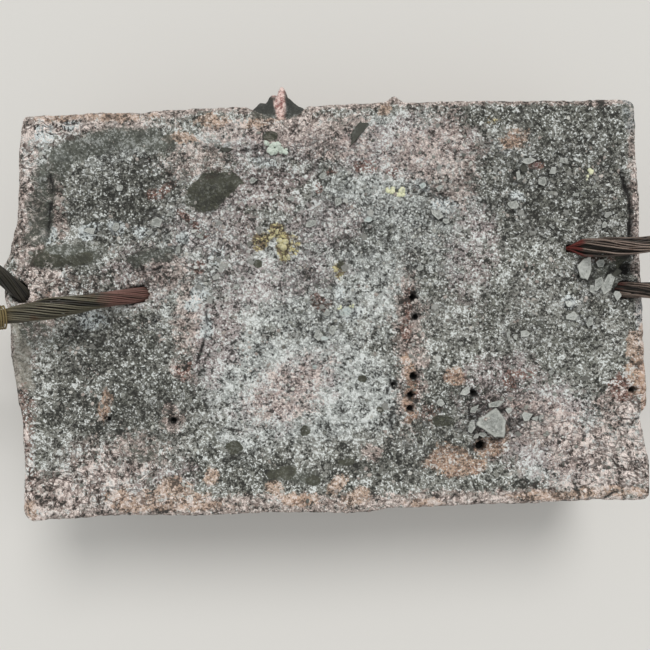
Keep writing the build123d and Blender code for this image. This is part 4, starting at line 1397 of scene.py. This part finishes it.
grit = {
    "name": "crust_grit", "shape": "Grit", "density": 9000.0, "smallest": 0.9, "largest": 3.6,
    "flatness": 0.5, "seed": 12,
}
chips = {
    "name": "oxide_chips", "shape": "Chips", "density": 3000.0, "smallest": 1.6, "largest": 6.5,
    "flatness": 0.16, "seed": 40,
}
chipSpots = [
    (-170, 100, 60, 90, 0, 0.6), (-270, 110, 70, 40, 0, 0.5), (350, 170, 110, 80, 0, 0.5),
    (60, 140, 80, 70, 0, 0.5), (200, 40, 60, 120, 0, 0.35), (-10, 0, 60, 60, 0, 0.5),
    (310, -10, 90, 50, 0, 0.4), (250, -170, 60, 50, 0, 0.6), (-360, -20, 50, 20, 0, 0.35),
    (-300, 200, 70, 30, 0, 0.35),
]


def randomNode(tree, low, high, seed):
    values = {"Min": low, "Max": high, "Seed": seed}
    return addNode(tree, "FunctionNodeRandomValue", values, data_type="FLOAT").outputs[1]


crumbShapes = {
    "Grit": ("GeometryNodeMeshIcoSphere", {"Radius": 1.0, "Subdivisions": 1}),
    "Chips": ("GeometryNodeMeshCylinder", {"Vertices": 5, "Radius": 1.0, "Depth": 1.6}),
}


def crumbTree(shape):
    tree, given, out = newGroup(
        "scattered" + shape, "GeometryNodeTree",
        [("Face", "shape"), ("Density", "number", 5000.0), ("Smallest", "number", 0.001),
         ("Largest", "number", 0.003), ("Flatness", "number", 0.5), ("Seed", "count", 1),
         ("Finish", "finish")],
        {"shape": ["Geometry"]})
    crowd = addNode(tree, "GeometryNodeInputNamedAttribute", {"Name": "crumbs"}, data_type="FLOAT").outputs[0]
    values = {"Mesh": given["Face"], "Density": times(crowd, given["Density"]), "Seed": given["Seed"]}
    spread = addNode(tree, "GeometryNodeDistributePointsOnFaces", values).outputs["Points"]
    kind, values = crumbShapes[shape]
    crumb = addNode(tree, kind, values).outputs[0]
    size = mathNode("POWER", randomNode(tree, 0.0, 1.0, given["Seed"]), 4.0)
    size = rangeNode(size, 0.0, 1.0, given["Smallest"], given["Largest"], smooth=False)
    longer = times(size, randomNode(tree, 0.7, 1.5, 5))
    values = {0: longer, 1: size, 2: times(size, given["Flatness"])}
    scale = addNode(tree, "ShaderNodeCombineXYZ", values).outputs[0]
    values = {0: (-0.5, -0.5, 0.0), 1: (0.5, 0.5, 6.28), "Seed": 9}
    turn = addNode(tree, "FunctionNodeRandomValue", values, data_type="FLOAT_VECTOR").outputs[0]
    values = {"Points": spread, "Instance": crumb, "Rotation": turn, "Scale": scale}
    placed = addNode(tree, "GeometryNodeInstanceOnPoints", values).outputs[0]
    placed = storeValue(placed, "shade", randomNode(tree, 0.0, 1.0, 21), "INSTANCE")
    real = addNode(tree, "GeometryNodeRealizeInstances", {"Geometry": placed}).outputs[0]
    where = tree.nodes.new("GeometryNodeInputPosition").outputs[0]
    rough = vectorNode("SUBTRACT", noiseNode(where, 520.0, 1.0, output="Color"), (0.5, 0.5, 0.5))
    values = {"Geometry": real, "Offset": vectorNode("SCALE", rough, 0.0022)}
    real = addNode(tree, "GeometryNodeSetPosition", values).outputs[0]
    values = {"Geometry": real, "Material": given["Finish"]}
    tree.links.new(addNode(tree, "GeometryNodeSetMaterial", values).outputs[0], out.inputs[0])
    return tree


def gritMaterial():
    material, tree, shader = newMaterial("crustCrumbs")
    place, shade = objectPlace(tree), maskOf(tree, "shade")
    cloud = noiseNode(place, 12.0, 3.0)
    fine = noiseNode(place, 800.0, 2.0)
    share = rangeNode(shade, 0.0, 0.6, smooth=False)
    colour = mixNode(share, tint(78, 80, 74), tint(138, 140, 134))
    colour = mixNode(rangeNode(shade, 0.7, 1.0), colour, tint(196, 196, 190))
    colour = mixNode(rangeNode(cloud, 0.52, 0.62, 0.0, 0.45), colour, tint(196, 178, 171))
    colour = greyed(colour, rangeNode(fine, 0.3, 0.7, 0.8, 1.15))
    finishShader(shader, colour, 0.6, fine, 0.4, 0.5)
    return material


def chipMaterial():
    material, tree, shader = newMaterial("oxideChips")
    shade = maskOf(tree, "shade")
    fine = noiseNode(objectPlace(tree), 420.0, 3.0, 0.7)
    share = rangeNode(shade, 0.0, 0.55, smooth=False)
    colour = mixNode(share, tint(112, 112, 107), tint(150, 151, 147))
    colour = mixNode(rangeNode(shade, 0.75, 1.0), colour, tint(196, 198, 194))
    colour = greyed(colour, rangeNode(fine, 0.35, 0.65, 0.78, 1.12))
    finishShader(shader, colour, 0.55, fine, 0.4, 0.6)
    return material


def scatterCrumbs(settings, inner, crowd, finish):  # inner: the face's grid without its edge
    x, y, z = inner
    index = np.arange(x.size).reshape(x.shape)
    points = np.stack([x.ravel(), y.ravel(), z.ravel()], 1)
    base = meshObject(settings["name"] + "Base", points * millimetre, gridQuads(index).tolist())
    addAttribute(base.data, "crumbs", crowd.ravel())
    made = runTree(crumbTree(settings["shape"]), base, settings["name"], {
        "Density": settings["density"], "Smallest": settings["smallest"] * millimetre,
        "Largest": settings["largest"] * millimetre, "Flatness": settings["flatness"],
        "Seed": settings["seed"], "Finish": finish})
    finishPiece(made)


crumbMargin, crumbStride = 6, 2  # rows of the face's grid


def scatterAll():
    part = slice(crumbMargin, -crumbMargin, crumbStride)
    inner = [grid[part, part] for grid in (faceX, faceY, faceZ, hollowShadeMask)]
    x, y, _, hollow = inner
    bare = hollow * 2 + finishValue("olive", x, y) + 0.8 * finishValue("slag", x, y)
    rough = 1 - np.clip(bare + finishValue("beige", x, y), 0, 1)
    gritCrowd = 0.45 + 0.75 * ease(0.5 + 0.9 * layeredNoise(x, y, 46, 2, 140))
    chipCrowd = 0.08 + sum(blobMask(x, y, spec, 700 + i) for i, spec in enumerate(chipSpots))
    scatterCrumbs(grit, inner[:3], gritCrowd * rough, gritMaterial())
    scatterCrumbs(chips, inner[:3], np.clip(chipCrowd, 0, 1) * rough, chipMaterial())


scatterAll()


# Loose flakes and small round lumps of sulphate

flakeColours = {
    "scale": tint(150, 153, 149), "pale": tint(172, 175, 171), "white": tint(210, 214, 211),
    "dark": tint(58, 59, 51), "cyan": tint(178, 189, 188), "mint": tint(206, 218, 206),
    "yellow": tint(230, 232, 196), "gold": tint(204, 196, 152), "red": tint(112, 74, 72),
}
flakeKinds = list(flakeColours)
lumpyKinds = ("mint", "yellow", "gold")
flakeTiers = [(0.97, -0.6), (1.0, 0.5), (0.9, 1.0), (0.5, 0.85)]  # share of the outline and of the thickness
flakeShape = {"corners": (4, 7), "uneven": 0.36, "reach": (0.76, 1.2), "thick": (1.1, 2.1), "lean": 0.1,
              "jag": (-0.06, 0.05), "above": 1.0}
lumpShape = {"rings": 5, "sides": 9, "least": 3, "areaEach": 60, "spread": 0.42, "share": (0.18, 0.34),
             "smallest": 1.8, "largest": 5.0, "above": 0.6}
flakeSeed = 44


def flakeMaterial():
    material, tree, shader = newMaterial("oxideFlakes")
    kind, edge = maskOf(tree, "kind"), maskOf(tree, "edge")
    colour = flakeColours["scale"]
    for index, name in enumerate(flakeKinds[1:], 1):
        colour = mixNode(mathNode("COMPARE", kind, float(index), 0.3), colour, flakeColours[name])
    crust = placeGroup(tree, crystalCrust, Scale=1.2, Flecks=0.44, Slant=0.3)
    cloud = noiseNode(objectPlace(tree), 150.0, 4.0, 0.65)
    bright = minus(1.0, mathNode("COMPARE", kind, float(flakeKinds.index("dark")), 0.3))
    colour = mixNode(rangeNode(cloud, 0.56, 0.7, 0.0, 0.6), colour, tint(104, 108, 102))
    # painted shade in the crystal gaps and painted glints on the crystals
    colour = mixNode(times(crust["GapShade"], 0.4), colour, tint(78, 80, 74))
    colour = mixNode(times(crust["FleckAndGlint"], bright, 0.5), colour, tint(204, 206, 202))
    # painted highlight along the top rim of all but the dark flakes
    rim = times(rangeNode(edge, 0.3, 0.9, 0.0, 0.4), bright)
    colour = mixNode(rim, colour, tint(204, 206, 200))
    # painted shade on the flake's sides and underside
    colour = mixNode(rangeNode(edge, -0.1, -0.9, 0.0, 0.75), colour, tint(62, 62, 56))
    finishShader(shader, colour, 0.62, crust["Height"], 0.35, 0.8)
    return material


def crustLevel(x, y):
    x, y = np.array(float(x)), np.array(float(y))
    return float(castLevel(x, y) + reliefAt(x, y))


def addShell(heap, points, sides, kind, edges):  # rings from the bottom or top, then the two poles
    start, rings = len(heap["points"]), (len(points) - 2) // sides
    heap["points"] += points
    heap["edges"] += edges
    heap["kinds"] += [flakeKinds.index(kind)] * len(points)
    for ring in range(rings - 1):
        lower, upper = start + ring * sides, start + (ring + 1) * sides
        for k in range(sides):
            heap["cells"].append((lower + k, lower + (k + 1) % sides, upper + (k + 1) % sides, upper + k))
    last, poles = start + (rings - 1) * sides, start + rings * sides
    for k in range(sides):
        heap["cells"].append((last + k, last + (k + 1) % sides, poles))
        heap["cells"].append((start + (k + 1) % sides, start + k, poles + 1))


def addLumps(heap, random, spec):  # a crop of small round lumps, as sulphates grow
    x, y, length, width, turn, kind = spec
    s = lumpShape
    for _ in range(int(s["least"] + length * width / s["areaEach"])):
        along = random.uniform(-s["spread"], s["spread"]) * length
        across = random.uniform(-s["spread"], s["spread"]) * width
        dx, dy = turned(along, across, -turn)
        cx, cy = x + dx, y + dy
        radius = min(s["largest"], max(s["smallest"], random.uniform(*s["share"]) * width))
        level = crustLevel(cx, cy) + s["above"]
        points = []
        for ring in range(s["rings"], 0, -1):
            down = ring / (s["rings"] + 1) * math.pi
            for k in range(s["sides"]):
                around = k / s["sides"] * 2 * math.pi
                uneven = latticeNoise(cx + 3 * math.cos(around), cy + 3 * math.sin(around) + ring, 2.4, 230)
                out = radius * (1 + 0.3 * uneven) * math.sin(down)
                rise = 0.6 * radius * math.cos(down)
                points.append((cx + out * math.cos(around), cy + out * math.sin(around), level + rise))
        points += [(cx, cy, level + 0.62 * radius), (cx, cy, level - 0.62 * radius)]
        addShell(heap, points, s["sides"], kind, [0.0] * len(points))


def brokenOutline(random, corners, angles, reach):  # each side gets two more points, a little off the line
    outline = []
    for k in range(corners):
        ahead = (k + 1) % corners
        ax, ay = reach[k] * math.cos(angles[k]), reach[k] * math.sin(angles[k])
        bx, by = reach[ahead] * math.cos(angles[ahead]), reach[ahead] * math.sin(angles[ahead])
        for t in (0, 0.33, 0.67):
            jag = 0 if t == 0 else random.uniform(*flakeShape["jag"])
            outline.append(((ax + (bx - ax) * t) * (1 + jag), (ay + (by - ay) * t) * (1 + jag)))
    return outline


def addFlake(heap, random, spec):
    x, y, length, width, turn, kind = spec
    s = flakeShape
    corners = int(random.integers(*s["corners"]))
    shifts = random.uniform(-s["uneven"], s["uneven"], corners)
    angles = (np.arange(corners) + shifts) / corners * 2 * math.pi
    reach = random.uniform(*s["reach"], corners)
    thick = random.uniform(*s["thick"])
    leanX, leanY = random.uniform(-s["lean"], s["lean"], 2)
    outline = brokenOutline(random, corners, angles, reach)
    level = crustLevel(x, y) + s["above"]
    points, edges = [], []
    for scale, up in flakeTiers:
        for px, py in outline:
            along, across = px * length / 2 * scale, py * width / 2 * scale
            dx, dy = turned(along, across, -turn)
            lift = 0.5 * latticeNoise(x + dx, y + dy, 6, 201) if up > 0.9 else 0
            points.append((x + dx, y + dy, level + leanX * along + leanY * across + up * thick + lift))
            # 1 marks the top rim for a painted highlight, -1 the sides and underside for painted shade
            edges.append(1.0 if scale == 0.9 else -1.0 if scale > 0.95 else 0.0)
    points += [(x, y, level + 1.1 * thick), (x, y, level - 0.6 * thick)]
    addShell(heap, points, len(outline), kind, edges + [0.0, 0.0])


def makeFlakes():
    random = np.random.default_rng(flakeSeed)
    heap = {"points": [], "cells": [], "kinds": [], "edges": []}
    for spec in flakes:
        if spec[5] in lumpyKinds:
            addLumps(heap, random, spec)
        else:
            addFlake(heap, random, spec)
    made = meshObject("oxide_flakes", np.array(heap["points"]) * millimetre, heap["cells"], flakeMaterial())
    addAttribute(made.data, "kind", heap["kinds"])
    addAttribute(made.data, "edge", heap["edges"])
    finishPiece(made)


makeFlakes()
print("flakes laid")


# Floor and light

light = {"sky": (0.98, 0.985, 0.965, 1), "skyStrength": 0.62, "sun": (1.0, 0.98, 0.95), "sunStrength": 1.5,
         "sunBreadth": 28, "sunWay": (-0.25, -0.75, -1.0), "floor": (0.72, 0.71, 0.69, 1)}


def makeStage():
    material, _, shader = newMaterial("paleFloor")
    setSockets(shader, {"Base Color": light["floor"], "Roughness": 0.9})
    floor = meshObject("floor", [(-5, -5, 0), (5, -5, 0), (5, 5, 0), (-5, 5, 0)], [(0, 1, 2, 3)], material)
    world = bpy.data.worlds.new("softSky")
    world.use_nodes = True
    sky = world.node_tree.nodes["Background"]
    setSockets(sky, {"Color": light["sky"], "Strength": light["skyStrength"]})
    bpy.context.scene.world = world
    data = bpy.data.lights.new("highWindow", "SUN")
    data.energy = light["sunStrength"]
    data.angle = math.radians(light["sunBreadth"])
    data.color = light["sun"]
    sun = linkObject("highWindow", data)
    sun.rotation_euler = Vector(light["sunWay"]).to_track_quat("-Z", "Y").to_euler()
    bpy.context.scene.view_settings.view_transform = "Standard"


makeStage()
print("stage set")
